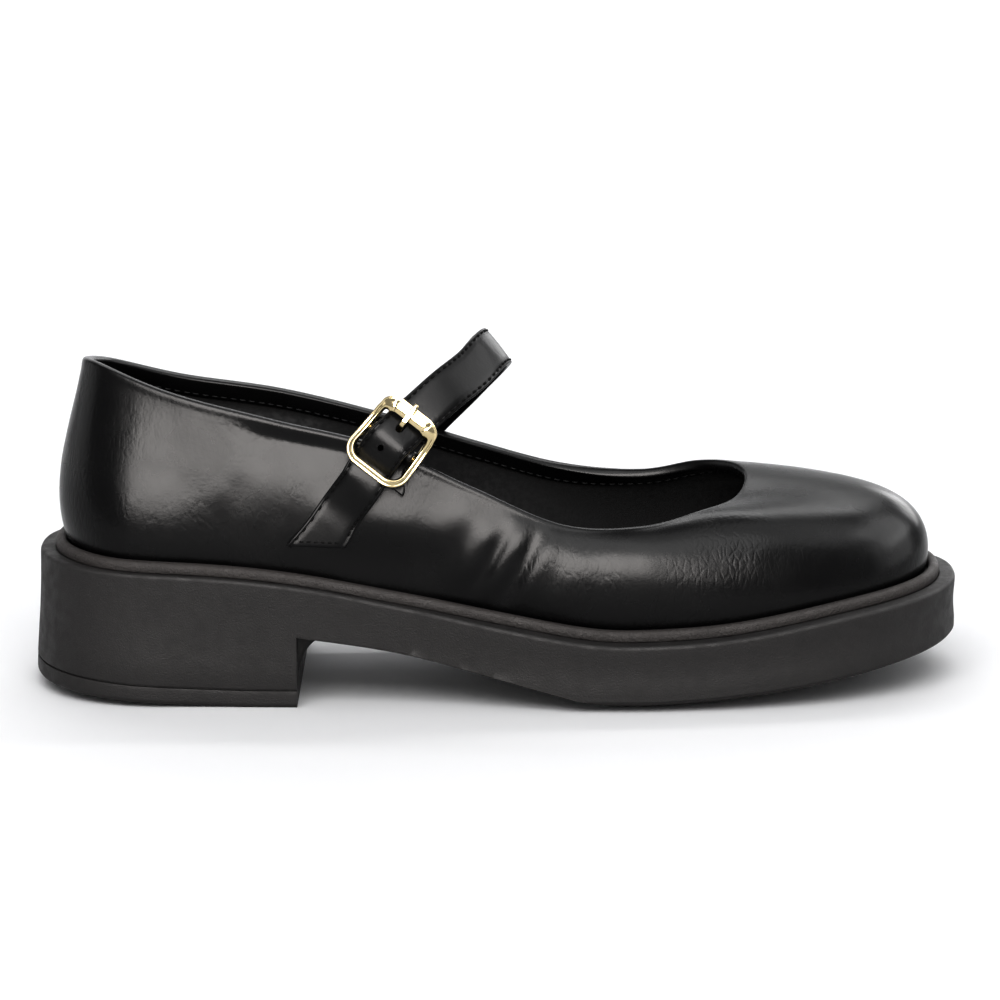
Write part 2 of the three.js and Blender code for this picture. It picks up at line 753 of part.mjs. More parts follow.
const buckleTurn = 0.415;
const quarterTop = toplineCurve.getPoint(buckleTurn / 2);
const buckleStand = 3.8;
const buckleRise = 2.3;
const buckleShift = 0.7;
const strapLean = new THREE.Vector3(0.614, 0.248, 0.748).normalize();
const strapOut = new THREE.Vector3(-0.016, -0.933, 0.322);
strapOut.addScaledVector(strapLean, -strapOut.dot(strapLean)).normalize();
const strapAcross = new THREE.Vector3().crossVectors(strapOut, strapLean);
const buckleCentre = quarterTop.clone()
  .addScaledVector(strapOut, buckleStand)
  .addScaledVector(strapLean, buckleRise)
  .addScaledVector(strapAcross, buckleShift);

// Buckle coordinates: u along the strap towards the instep, v across it, n away from the foot.
const buckleAxes = new THREE.Matrix4().makeBasis(strapLean, strapAcross, strapOut)
  .setPosition(buckleCentre);
const inBuckle = (u, v, n) => new THREE.Vector3(u, v, n).applyMatrix4(buckleAxes);

// A profile drawn in (u, n), given a width in v.
function buckleProfile(shape, fromV, toV) {
  const options = { depth: toV - fromV, bevelEnabled: false, curveSegments: 12 };
  const geometry = new THREE.ExtrudeGeometry(shape, options);
  geometry.rotateX(Math.PI / 2);
  geometry.translate(0, toV, 0);
  return geometry.applyMatrix4(buckleAxes);
}

function buckleBox(uFrom, uTo, vFrom, vTo, nFrom, nTo) {
  const box = new THREE.BoxGeometry(uTo - uFrom, vTo - vFrom, nTo - nFrom);
  box.translate((uFrom + uTo) / 2, (vFrom + vTo) / 2, (nFrom + nTo) / 2);
  return box.applyMatrix4(buckleAxes);
}

// ---------------------------------------------------------------- buckle

const armCentre = buckleWidth / 2 - armWidth / 2;
const barEnd = buckleLength / 2 - armWidth / 2;
const bowAt = (u) => 0.2 + ringBow * (u / barEnd) ** 2;

function roundedRing(t) {
  const straightU = barEnd - buckleCorner;
  const straightV = armCentre - buckleCorner;
  const corner = Math.floor(t * 4) % 4;
  const local = t * 4 - Math.floor(t * 4);
  const quarter = [[1, 1], [-1, 1], [-1, -1], [1, -1]][corner];
  const angle = (corner + clamp01((local - 0.2) / 0.6)) * Math.PI / 2;
  const along = new THREE.Vector2(Math.cos(angle), Math.sin(angle));
  let u = quarter[0] * straightU + buckleCorner * along.x;
  let v = quarter[1] * straightV + buckleCorner * along.y;
  if (local < 0.2) {
    const share = local / 0.2;
    if (corner % 2 === 0) v = lerp(0, v, share);
    else u = lerp(0, u, share);
  } else if (local > 0.8) {
    const share = (local - 0.8) / 0.2;
    if (corner % 2 === 0) u = lerp(u, 0, share);
    else v = lerp(v, 0, share);
  }
  return { u, v: v * (1 - ringFlare * u / barEnd), along };
}

function buckleFrame() {
  const steps = 40;
  const rings = range(steps).map((i) => {
    const { u, v, along } = roundedRing(i / steps);
    const topShare = clamp01((u - 0.45 * barEnd) / (0.5 * barEnd));
    const half = lerp(armWidth, topBarWidth, topShare) / 2;
    const lift = bowAt(u);
    return range(8).map((k) => {
      const angle = (k + 0.5) * Math.PI / 4;
      const across = half * Math.cos(angle) / Math.cos(Math.PI / 8);
      const up = ringThickness / 2 * Math.sin(angle) / Math.cos(Math.PI / 8);
      return inBuckle(u + along.x * across, v + along.y * across, lift + up);
    });
  });
  const bore = new THREE.CylinderGeometry(pinRadius + 0.25, pinRadius + 0.25, 2 * armCentre + 1.2, 16)
    .applyMatrix4(buckleAxes);
  return cut(hoopBody(rings), [bore]);
}

function buckleBar() {
  const shoulder = armCentre - armWidth / 2 - 0.25;
  const tip = armCentre + 0.35;
  const turned = new THREE.LatheGeometry([
    new THREE.Vector2(0, -tip), new THREE.Vector2(pinRadius, -tip),
    new THREE.Vector2(pinRadius, -shoulder), new THREE.Vector2(barRadius, -shoulder),
    new THREE.Vector2(barRadius, shoulder), new THREE.Vector2(pinRadius, shoulder),
    new THREE.Vector2(pinRadius, tip), new THREE.Vector2(0, tip),
  ], 16);
  return turned.applyMatrix4(buckleAxes);
}

const prongInside = barRadius + 0.25;
const prongOutside = prongInside + 0.8;
const prongRest = bowAt(barEnd) + ringThickness / 2 + 0.2;

// The prong grips the bar, runs under the strap, comes up through it and lies on the top bar.
function buckleProng() {
  const reach = barEnd + topBarWidth / 2 + 0.6;
  const top = prongRest + prongThickness;
  const [underAngle, overAngle] = [-0.15, 0.8];
  const shape = new THREE.Shape();
  shape.moveTo(prongOutside * Math.cos(underAngle), prongOutside * Math.sin(underAngle));
  shape.lineTo(3.4, 0.1);
  shape.lineTo(6.4, prongRest);
  shape.lineTo(reach, prongRest - 0.1);
  shape.lineTo(reach + 0.4, prongRest + 0.4);
  shape.lineTo(reach, top - 0.1);
  shape.lineTo(5.5, top);
  shape.lineTo(2.9, 1.15);
  shape.lineTo(prongOutside * Math.cos(overAngle), prongOutside * Math.sin(overAngle));
  shape.absarc(0, 0, prongOutside, overAngle, 2 * Math.PI + underAngle, false);
  shape.closePath();
  const hole = new THREE.Path();
  hole.absarc(0, 0, prongInside, 0, 2 * Math.PI, true);
  shape.holes.push(hole);
  return buckleProfile(shape, prongShift - prongWidth / 2, prongShift + prongWidth / 2);
}

// ---------------------------------------------------------------- strap

const tabInside = barRadius + 0.35;
const tabOutside = tabInside + tabLeather;
const strapOverTab = tabOutside + gap;
const strapThickness = strapFaceThickness + strapCoreThickness + strapBackingThickness + 2 * strapLayerGap;
const strapUnderBar = bowAt(barEnd) - ringThickness / 2 - 1 - strapThickness;
const hingeAt = -(buckleLength / 2 + 2);
// Where the strap levels out beside an end bar, and where it starts to climb over the tab.
const strapLevelAt = barEnd - 2.05;
const strapClimbAt = tabOutside + 2.45;

const tabShift = -3.6;
const tabBaseWidth = 16;
const tabSurface = -buckleStand + 2 * gap;

function buckleTab() {
  const middle = (tabInside + tabOutside) / 2;
  const lowest = tabSurface + tabLeather / 2;
  const upper = lowest + tabLeather + 0.2;
  const points = [
    [-tabLength, upper], [-7.5, upper], [-4.4, upper + 0.15], [-2.6, upper + 0.9],
    ...range(9).map((i) => {
      const angle = lerp(Math.PI * 0.82, -Math.PI * 0.55, i / 8);
      return [middle * Math.cos(angle), middle * Math.sin(angle)];
    }),
    [-2.6, lowest + 0.1], [-4.4, lowest], [-7.5, lowest], [-tabLength, lowest],
  ];
  const side = (i, offset) => {
    const before = points[Math.max(i - 1, 0)];
    const after = points[Math.min(i + 1, points.length - 1)];
    const along = new THREE.Vector2(after[0] - before[0], after[1] - before[1]).normalize();
    return [points[i][0] - along.y * offset, points[i][1] + along.x * offset];
  };
  const rings = points.map((_, i) => [-1, 1].flatMap((edge) => {
    const [u, n] = side(i, edge * tabLeather / 2);
    const fan = ease((-u - 3.5) / (tabLength - 3.5));
    const across = edge * lerp(tabWidth, tabBaseWidth, fan) / 2;
    return [inBuckle(u, tabShift * fan - across, n), inBuckle(u, tabShift * fan + across, n)];
  }));
  const slotHalf = prongWidth / 2 + 0.45;
  const slot = buckleBox(-prongOutside - 0.6, tabOutside + 1, prongShift - slotHalf, prongShift + slotHalf,
    -tabOutside - 1.5, tabOutside + 1);
  return cut(bandBody(rings), [slot]);
}

// The strap's inner face: stations of a centre point and the direction away from the foot.
function strapStations() {
  const stations = [];
  const lay = (s, z, lift, turn) => {
    const { point, normal } = onUpper(s, z, turn);
    stations.push({ point: point.addScaledVector(normal, lift), out: normal });
  };
  const hump = (u, v, n) => stations.push({ point: inBuckle(u, v, n), out: strapOut.clone() });
  const free = (dx, y, dz, out) => stations.push({
    point: new THREE.Vector3(buckleCentre.x + dx, y, buckleCentre.z + dz),
    out: new THREE.Vector3(...out).normalize(),
  });
  const centreS = alongOf(buckleCentre);
  const centreZ = buckleCentre.z;
  lay(centreS - 20.6, centreZ - 27.9, 0.5, 0.36);
  lay(centreS - 17.9, centreZ - 24.2, 0.45, 0.37);
  lay(centreS - 14.2, centreZ - 18.9, 0.55, 0.38);
  hump(hingeAt - 1.2, -0.2, strapUnderBar - 0.5);
  hump(hingeAt + 1.8, 0.2, strapUnderBar - 0.1);
  hump(-strapLevelAt, 0.5, strapUnderBar);
  hump(-strapClimbAt, 0.6, 0.9);
  hump(0, 0.5, strapOverTab);
  hump(strapClimbAt, -0.1, 0.9);
  hump(strapLevelAt, -0.4, strapUnderBar - 0.25);
  hump(barEnd + 1, -1.1, strapUnderBar - 0.35);
  free(15.4, -20.9, 13.5, [0.2, -0.86, 0.47]);
  free(22.8, -12.5, 17.9, [0.45, -0.63, 0.63]);
  free(27.2, -3.5, 21.3, [0.7, -0.25, 0.67]);
  free(29, 4, 20.9, [0.78, 0.05, 0.62]);
  free(26.8, 13, 16.2, [0.66, 0.5, 0.55]);
  free(20.1, 21.3, 7.4, [0.42, 0.8, 0.43]);
  lay(centreS + 7.4, centreZ - 8, 0.9, 1.6);
  lay(centreS + 0.2, centreZ - 17.5, 0.5, 1.6);
  lay(centreS - 3.6, centreZ - 23, 0.5, 1.6);
  return stations;
}

const stations = strapStations();
const strapPath = new THREE.CatmullRomCurve3(stations.map((station) => station.point), false, 'centripetal');
const strapTurns = new THREE.CatmullRomCurve3(stations.map((station) => station.out), false, 'centripetal');
const hingeShare = 3.4 / (stations.length - 1);
const hingeGapShare = 0.0042;

function strapFrame(share) {
  const point = strapPath.getPoint(share);
  const along = strapPath.getTangent(share);
  const index = share * (stations.length - 1);
  const i = Math.min(Math.floor(index), stations.length - 2);
  const out = stations[i].out.clone().lerp(stations[i + 1].out, ease(index - i));
  out.addScaledVector(along, -out.dot(along)).normalize();
  return { point, along, out, across: new THREE.Vector3().crossVectors(out, along) };
}

function strapLayer(shares, lift, thickness, slantedStart) {
  const rings = shares.map((share, i) => {
    const { point, along, out, across } = strapFrame(share);
    const slant = slantedStart && i === 0 ? tipSlant : 0;
    const corner = (side, height) => point.clone()
      .addScaledVector(across, side * strapWidth / 2)
      .addScaledVector(along, -side * slant)
      .addScaledVector(out, height);
    return [
      corner(-1, lift), corner(1, lift), corner(1, lift + thickness), corner(-1, lift + thickness),
    ];
  });
  return bandBody(rings);
}

const strapSteps = (from, to, count) => range(count + 1).map((i) => lerp(from, to, i / count));
const tipShares = strapSteps(0, hingeShare - hingeGapShare, 9);
const bodyShares = strapSteps(hingeShare + hingeGapShare, 1, 44);

const strapLayers = [
  { name: 'backing', lift: 0, thickness: strapBackingThickness, slotStart: innerSlotStart },
  {
    name: 'core',
    lift: strapBackingThickness + strapLayerGap,
    thickness: strapCoreThickness,
    slotStart: innerSlotStart,
  },
  {
    name: 'face',
    lift: strapBackingThickness + strapCoreThickness + 2 * strapLayerGap,
    thickness: strapFaceThickness,
    slotStart: faceSlotStart,
  },
];

const holeThrough = (u, v) => new THREE.CylinderGeometry(holeRadius, holeRadius, 7, 14)
  .rotateX(Math.PI / 2).translate(u, v, 3).applyMatrix4(buckleAxes);

// The hole the prong comes up through, long enough for the prong to be lifted out of it.
function prongSlot(start) {
  const ends = [start + holeRadius, slotEnd - holeRadius];
  const middle = buckleBox(...ends, prongShift - holeRadius, prongShift + holeRadius, -0.5, 6.5);
  return [middle, ...ends.map((u) => holeThrough(u, prongShift))];
}

// ---------------------------------------------------------------- assembly

const blackLeather = { color: 0x18181a, roughness: 0.32, metalness: 0 };
const blackLining = { color: 0x141415, roughness: 0.75, metalness: 0 };
const blackFoam = { color: 0x2b2826, roughness: 0.85, metalness: 0 };
const boardFibre = { color: 0x8c7a62, roughness: 0.9, metalness: 0 };
const greyFelt = { color: 0x4a4a4c, roughness: 0.95, metalness: 0 };
const springSteel = { color: 0x9a9da0, roughness: 0.35, metalness: 1 };
const paleGold = { color: 0xe6d7a0, roughness: 0.12, metalness: 1 };

const shoe = new THREE.Group();

function add(name, geometry, look) {
  const mesh = new THREE.Mesh(geometry, new THREE.MeshStandardMaterial(look));
  mesh.name = name;
  shoe.add(mesh);
}

add('outsole', outsole, blackFoam);
add('heel_top_lift', heelTopLift, blackFoam);
add('welt_strip', weltStrip(), blackFoam);
add('forefoot_filler', forefootFiller, greyFelt);
add('shank', shank, springSteel);
add('shank_rivet_rear', rivet(rivetPlaces[0]), springSteel);
add('shank_rivet_front', rivet(rivetPlaces[1]), springSteel);
add('insole_board', insoleBoard, boardFibre);
add('sock_foam', sockFoam, greyFelt);
add('sock_cover', sockCover, blackLining);
add('upper', upperShell(), blackLeather);
add('heel_counter', heelCounter, boardFibre);
add('toe_puff', toePuff, boardFibre);
add('quarter_lining', quarterLining, blackLining);
add('vamp_lining', vampLining, blackLining);
add('topline_binding', toplineBinding(), blackLining);
add('buckle_tab', buckleTab(), blackLeather);
add('buckle_frame', buckleFrame(), paleGold);
add('buckle_bar', buckleBar(), paleGold);
add('buckle_prong', buckleProng(), paleGold);

for (const { name, lift, thickness, slotStart } of strapLayers) {
  const look = name === 'face' ? blackLeather : blackLining;
  const holes = [...prongSlot(slotStart), holeThrough(...spareHoleAt)];
  add(`strap_${name}`, cut(strapLayer(bodyShares, lift, thickness, false), holes), look);
  add(`strap_tip_${name}`, strapLayer(tipShares, lift, thickness, true), look);
}

// The origin is the middle of the footprint.
const footprint = new THREE.Box3().setFromObject(shoe).getCenter(new THREE.Vector3());
shoe.position.set(-footprint.x, -footprint.y, 0);

export default shoe;
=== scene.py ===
"""Visual model of a black Mary Jane shoe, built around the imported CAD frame.

Shapes are worked out in shoe millimetres: s along the sole from its back, y to the inner side of
the foot, z up from the floor. to_row() turns them into the frame's metres.
"""

import json
import math

import bmesh
import bpy
import numpy as np
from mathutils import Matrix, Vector, noise


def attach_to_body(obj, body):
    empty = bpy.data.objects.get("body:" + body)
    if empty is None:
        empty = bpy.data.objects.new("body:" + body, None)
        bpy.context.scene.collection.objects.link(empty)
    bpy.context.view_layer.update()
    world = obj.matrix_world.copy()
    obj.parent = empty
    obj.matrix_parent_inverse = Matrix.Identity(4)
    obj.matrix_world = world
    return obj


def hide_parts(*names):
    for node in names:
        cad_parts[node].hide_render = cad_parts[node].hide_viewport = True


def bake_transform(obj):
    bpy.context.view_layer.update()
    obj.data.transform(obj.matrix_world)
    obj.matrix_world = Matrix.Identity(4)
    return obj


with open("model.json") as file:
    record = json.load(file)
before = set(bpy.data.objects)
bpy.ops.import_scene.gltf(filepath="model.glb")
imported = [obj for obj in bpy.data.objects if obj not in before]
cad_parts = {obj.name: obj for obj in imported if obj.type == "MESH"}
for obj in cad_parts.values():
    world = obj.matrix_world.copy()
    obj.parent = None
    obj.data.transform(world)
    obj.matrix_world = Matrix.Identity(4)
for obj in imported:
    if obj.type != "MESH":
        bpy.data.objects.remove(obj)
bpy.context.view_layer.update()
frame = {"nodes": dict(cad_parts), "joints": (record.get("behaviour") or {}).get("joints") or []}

MM = 0.001
SOLE_LENGTH = 270.0
FOOTPRINT_SHIFT = (0.85, -5.705)


def to_row(points):
    """From shoe millimetres to the frame's metres."""
    row = np.array(points, float)
    row[..., 0] += FOOTPRINT_SHIFT[0] - SOLE_LENGTH / 2
    row[..., 1] += FOOTPRINT_SHIFT[1]
    return row * MM


# ---- curves and helpers

def lerp(a, b, share):
    return a + (b - a) * share


def ease(value):
    """Smooth step from 0 to 1."""
    u = np.clip(value, 0.0, 1.0)
    return u * u * u * (u * (6 * u - 15) + 10)


def unit(v):
    return v / np.maximum(np.linalg.norm(v, axis=-1, keepdims=True), 1e-9)


def hermite_through(knots):
    x = np.array([k[0] for k in knots], float)
    y = np.array([k[1] for k in knots], float)
    slope = np.empty_like(y)
    slope[1:-1] = (y[2:] - y[:-2]) / (x[2:] - x[:-2])
    slope[0] = (y[1] - y[0]) / (x[1] - x[0])
    slope[-1] = (y[-1] - y[-2]) / (x[-1] - x[-2])

    def curve(position):
        p = np.asarray(position, float)
        i = np.clip(np.searchsorted(x, p, side="left") - 1, 0, len(x) - 2)
        span = x[i + 1] - x[i]
        u = np.clip((p - x[i]) / span, 0, 1)
        v = 1 - u
        return (y[i] * v * v * (1 + 2 * u) + y[i + 1] * u * u * (3 - 2 * u)
                + span * u * v * (slope[i] * v - slope[i + 1] * u))

    return curve


def cubic(p1, p2, v0, v1, w):
    """From p1 with slope v0 to p2 with slope v1, as w runs 0 to 1."""
    return ((2 * p1 - 2 * p2 + v0 + v1) * w ** 3
            + (-3 * p1 + 3 * p2 - 2 * v0 - v1) * w ** 2 + v0 * w + p1)


def closed_curve(points):
    """Uniform Catmull-Rom through points, closed; the argument runs 0 to 2."""
    pts = np.array(points, float)
    count = len(pts)

    def curve(turn):
        p = np.mod(np.asarray(turn, float), 2.0) * count / 2
        i = np.floor(p).astype(int)
        w = (p - i)[..., None]
        p0, p1, p2, p3 = (pts[(i + k) % count] for k in (-1, 0, 1, 2))
        return cubic(p1, p2, (p2 - p0) / 2, (p3 - p1) / 2, w)

    return curve


def centripetal(points, share):
    """Centripetal Catmull-Rom through points, open; share runs 0 to 1."""
    pts = np.array(points, float)
    last = len(pts) - 1
    ext = np.vstack([2 * pts[0] - pts[1], pts, 2 * pts[last] - pts[last - 1]])
    p = np.clip(np.asarray(share, float), 0, 1) * last
    i = np.minimum(np.floor(p).astype(int), last - 1)
    w = (p - i)[..., None]
    p0, p1, p2, p3 = (ext[i + k] for k in range(4))
    gap = [np.maximum(np.linalg.norm(b - a, axis=-1, keepdims=True), 1e-8) ** 0.5
           for a, b in ((p0, p1), (p1, p2), (p2, p3))]
    t1 = ((p1 - p0) / gap[0] - (p2 - p0) / (gap[0] + gap[1]) + (p2 - p1) / gap[1]) * gap[1]
    t2 = ((p2 - p1) / gap[1] - (p3 - p1) / (gap[1] + gap[2]) + (p3 - p2) / gap[2]) * gap[1]
    return cubic(p1, p2, t1, t2, w)


# ---- outline and heights

HEEL_CAP, TOE_CAP, CAP_POWER = 40.0, 80.0, 2.3
TOE_START = SOLE_LENGTH - TOE_CAP
HEEL_SHARE, TOE_SHARE = 0.2, 0.3
HEEL_BLOCK = 76.5
# Half widths on the outer and the inner side, and where the waist lies on each.
HEEL_HALF, WAIST_HALF, BALL_HALF = (36.5, 34.0), (37.5, 33.0), (49.0, 48.0)
WAIST_AT = (85.0, 115.0)
TOE_SKEW, SKEW_START = 9.0, 60


def centre_line(s):
    """The sole's middle, which turns to the inner side."""
    return TOE_SKEW * ease((s - SKEW_START) / (SOLE_LENGTH - SKEW_START))


def outline(turn):
    """Sole outline: turn 0 at the back, 1 at the toe by the outer side, 2 back by the inner."""
    t = np.mod(np.asarray(turn, float), 2.0)
    outer = t <= 1
    v = np.where(outer, t, 2 - t)
    heel, waist, ball, waist_at = (
        np.where(outer, *pair) for pair in (HEEL_HALF, WAIST_HALF, BALL_HALF, WAIST_AT))
    s = lerp(HEEL_CAP, TOE_START, (v - HEEL_SHARE) / (1 - HEEL_SHARE - TOE_SHARE))
    width = np.where(
        s < waist_at,
        lerp(heel, waist, ease((s - HEEL_CAP) / (waist_at - HEEL_CAP))),
        waist + (ball - waist) * ease((s - waist_at) / (TOE_START - waist_at)),
    )
    back = np.clip(v / HEEL_SHARE, 0, 1) * math.pi / 2
    front = np.clip((1 - v) / TOE_SHARE, 0, 1) * math.pi / 2

    def power(x):
        return np.maximum(x, 0) ** (2 / CAP_POWER)

    s = np.where(v < HEEL_SHARE, HEEL_CAP * (1 - power(np.cos(back))), s)
    width = np.where(v < HEEL_SHARE, heel * power(np.sin(back)), width)
    s = np.where(v > 1 - TOE_SHARE, TOE_START + TOE_CAP * power(np.cos(front)), s)
    width = np.where(v > 1 - TOE_SHARE, ball * power(np.sin(front)), width)
    return np.stack([s, np.where(outer, -1, 1) * width + centre_line(s)], -1)


def outward(turn):
    along = unit(outline(turn + 2e-3) - outline(turn - 2e-3))
    return np.stack([along[..., 1], -along[..., 0]], -1)


def raised(flat, height):
    return np.stack([flat[..., 0], flat[..., 1], height], -1)


def inset_outline(turn, inset):
    return outline(turn) - outward(turn) * np.asarray(inset, float)[..., None]


bed = hermite_through([
    (0, 40.4), (47, 38.6), (76, 35.9), (106, 30.2), (135, 24.488), (163, 20.2), (184, 20.1),
    (204, 21.6), (238, 26.6), (270, 30),
])


TOE_SPRING, SPRING_LENGTH = 11.2, 92
BACK_LIFT, BACK_LENGTH = 3.4, 62


def floor_at(s):
    """Height of the underside, which rises to the toe and to the back."""
    spring = np.clip((s - SOLE_LENGTH + SPRING_LENGTH) / SPRING_LENGTH, 0, 1)
    back = np.clip(1 - s / BACK_LENGTH, 0, 1)
    return TOE_SPRING * spring ** 1.5 + BACK_LIFT * back ** 1.3


ARCH_THICKNESS = 15


def arch_heights():
    """The underside between heel and tread, as a table of s and z."""
    knots = np.array([
        (HEEL_BLOCK, bed(HEEL_BLOCK) - ARCH_THICKNESS), (106, bed(106) - 14),
        (135, bed(135) - 15.4), (154, 4.2), (174, -1), (178, -5),
    ], float)
    last = len(knots) - 1
    p = np.linspace(0, last, 400)
    i = np.minimum(np.floor(p).astype(int), last - 1)
    p0, p1, p2, p3 = (knots[np.clip(i + k, 0, last)] for k in (-1, 0, 1, 2))
    return cubic(p1, p2, (p2 - p0) / 2, (p3 - p1) / 2, (p - i)[:, None])


ARCH = arch_heights()


def arch_at(s):
    return np.interp(s, ARCH[:, 0], ARCH[:, 1], left=-50, right=-50)


BACK_LEDGE, SIDE_LEDGE, TOE_LEDGE = 4.5, 2.2, 4.8
WELT_WIDTH, WELT_GAP = 3.0, 1.5


def ledge_at(turn):
    """Width of the sole's flat rim outside the welt."""
    s = outline(turn)[..., 0]
    heel = lerp(BACK_LEDGE, SIDE_LEDGE, ease(s / 28))
    fore = lerp(SIDE_LEDGE, TOE_LEDGE, ease((s - HEEL_BLOCK) / (TOE_START - 30 - HEEL_BLOCK)))
    return np.where(s < HEEL_BLOCK, heel, fore)


def feather_inset(turn):
    """Inset of the line where the upper turns under."""
    return ledge_at(turn) + WELT_WIDTH + WELT_GAP


# ---- lasted shell

# One rib at each tenth of a side: topline shift, inset and rise, then the two curve handles.
BACK_RIB = (13.3, None, 54.8, (8, 16), (3.5, 0, -18))
TOE_RIB = (-62, None, 29.2, (7, 24), (0, 36, 0.2))
OUTER_RIBS = [
    (9.6, 14, 55, (6, 16), (4, 0, -18)),
    (1, 16, 49.2, (3, 16), (3.5, 0, -16)),
    (0, 12.8, 44.7, (2.5, 15), (3, 0, -14)),
    (-1, 11.3, 43.2, (3, 14), (3, 0, -14)),
    (-3, 12.1, 37.1, (3.5, 12), (3.5, 0, -11)),
    (-7, 14.8, 31.4, (4, 11), (6, 0, -7)),
    (-14, 16.6, 30.7, (3.5, 12), (8, 3, -3)),
    (-40.8, 16.5, 27.9, (3, 14), (5, 15, 1.5)),
    (-56.4, 11.8, 26.4, (5, 21), (2, 28, 2)),
]
INNER_RIBS = [
    (9.6, 9.7, 51.9, (6, 16), (4, 0, -18)),
    (1, 11.7, 46.8, (3, 16), (3.5, 0, -16)),
    (0, 9.7, 44.4, (2.5, 15), (3, 0, -14)),
    (-1, 7.2, 42, (2.5, 14), (3, 0, -14)),
    (-2, 5.8, 38.4, (2.5, 12), (4, 0, -12)),
    (-7, 14.3, 36.1, (3.5, 12), (6, 0, -9)),
    (-13, 22.4, 34.6, (3.5, 12), (10, 3, -4.5)),
    (-39.8, 23.6, 32.7, (3, 14), (8, 15, -2.5)),
    (-56.6, 18.3, 31.5, (5, 21), (3, 28, -1.2)),
]
RIBS = [BACK_RIB, *OUTER_RIBS, TOE_RIB, *reversed(INNER_RIBS)]
CENTRE_Y = {0: 0.0, 10: 6.5}


def topline_end(index, rib):
    s, y = outline(index / 10)
    side = -1 if index <= 10 else 1
    y_end = CENTRE_Y[index] if index in CENTRE_Y else y - side * rib[1]
    return (s + rib[0], y_end, float(bed(s)) + rib[2])


topline = closed_curve([topline_end(i, rib) for i, rib in enumerate(RIBS)])
low_handle = closed_curve([rib[3] for rib in RIBS])
high_handle = closed_curve([rib[4] for rib in RIBS])


def rib_controls(turn):
    out = outward(turn)
    foot = inset_outline(turn, feather_inset(turn))
    low, high, p3 = low_handle(turn), high_handle(turn), topline(turn)
    p0 = raised(foot, bed(foot[..., 0]) + 0.3)
    p1 = p0 + raised(out * low[..., :1], low[..., 1])
    p2 = p3 + np.stack([out[..., 0] * high[..., 0] + high[..., 1],
                        out[..., 1] * high[..., 0], high[..., 2]], -1)
    return p0, p1, p2, p3


def on_rib(controls, r):
    p0, p1, p2, p3 = controls
    r = np.asarray(r, float)[..., None]
    q = 1 - r
    return q ** 3 * p0 + 3 * q * q * r * p1 + 3 * q * r * r * p2 + r ** 3 * p3


def shell(turn, r, depth=0.0):
    """Points of the lasted shell, depth millimetres inside the upper's outer face."""
    turn, r = np.broadcast_arrays(np.asarray(turn, float), np.asarray(r, float))
    here = rib_controls(turn)
    point = on_rib(here, r)
    along = on_rib(rib_controls(turn + 4e-3), r) - on_rib(rib_controls(turn - 4e-3), r)
    up = on_rib(here, np.clip(r + 0.01, 0, 1)) - on_rib(here, np.clip(r - 0.01, 0, 1))
    normal = unit(np.cross(along, up))
    return point - normal * np.asarray(depth, float)[..., None], normal


# ---- meshes

def mesh_object(name, vertices, faces, material, smooth=True):
    mesh = bpy.data.meshes.new(name)
    mesh.from_pydata(vertices.tolist(), [], faces)
    mesh.validate()
    bm = bmesh.new()
    bm.from_mesh(mesh)
    bmesh.ops.recalc_face_normals(bm, faces=bm.faces)
    bm.to_mesh(mesh)
    bm.free()
    mesh.polygons.foreach_set("use_smooth", [smooth] * len(mesh.polygons))
    mesh.materials.append(material)
    obj = bpy.data.objects.new(name, mesh)
    bpy.context.scene.collection.objects.link(obj)
    return obj


def shoe_object(name, points, faces, material, smooth=True):
    """A mesh from points in shoe millimetres."""
    return mesh_object(name, to_row(points).reshape(-1, 3), faces, material, smooth)


def shade_over(obj, degrees):
    """Smooth shading with creases where it turns more sharply."""
    obj.data.polygons.foreach_set("use_smooth", [True] * len(obj.data.polygons))
    obj.data.set_sharp_from_angle(angle=math.radians(degrees))


def attach(piece, body, slot, *nodes):
    """The piece rides on a body and stands for the named nodes, which are hidden. The slot argument
    is not used.
    """
    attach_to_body(piece, body)
    if nodes:
        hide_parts(*nodes)


def grid_faces(columns, rows, close_columns, close_rows, start=0):
    faces = []
    for a in range(columns if close_columns else columns - 1):
        b = (a + 1) % columns
        for c in range(rows if close_rows else rows - 1):
            d = (c + 1) % rows
            faces.append((start + a * rows + c, start + b * rows + c,
                          start + b * rows + d, start + a * rows + d))
    return faces


def hoop_object(name, grid, material):
    """Columns of closed profiles that run all the way round."""
    columns, rows, _ = np.shape(grid)
    return shoe_object(name, grid, grid_faces(columns, rows, True, True), material)


def band_object(name, grid, material):
    """Columns of closed profiles, an open run with its two ends closed."""
    columns, rows, _ = np.shape(grid)
    faces = grid_faces(columns, rows, False, True)
    faces += [tuple(range(start, start + rows)) for start in (0, (columns - 1) * rows)]
    return shoe_object(name, grid, faces, material)


def tube_object(name, grid, material):
    """Columns round a tube, closed across at the first and the last row."""
    columns, rows, _ = np.shape(grid)
    faces = grid_faces(columns, rows, True, False)
    faces += [tuple(range(row, columns * rows, rows)) for row in (0, rows - 1)]
    return shoe_object(name, grid, faces, material)


def plate_object(name, grid, sides, material):
    """Outline columns of stacked rows, closed across at the first and the last row.

    Columns 0 to sides run up the outer side, and column -k lies across from column k.
    """
    columns, rows, _ = np.shape(grid)
    faces = grid_faces(columns, rows, True, False)
    for row in (0, rows - 1):
        for k in range(sides):
            quad = [k, k + 1, (columns - k - 1) % columns, (columns - k) % columns]
            faces.append(tuple(dict.fromkeys(c * rows + row for c in quad)))
    return shoe_object(name, grid, faces, material)


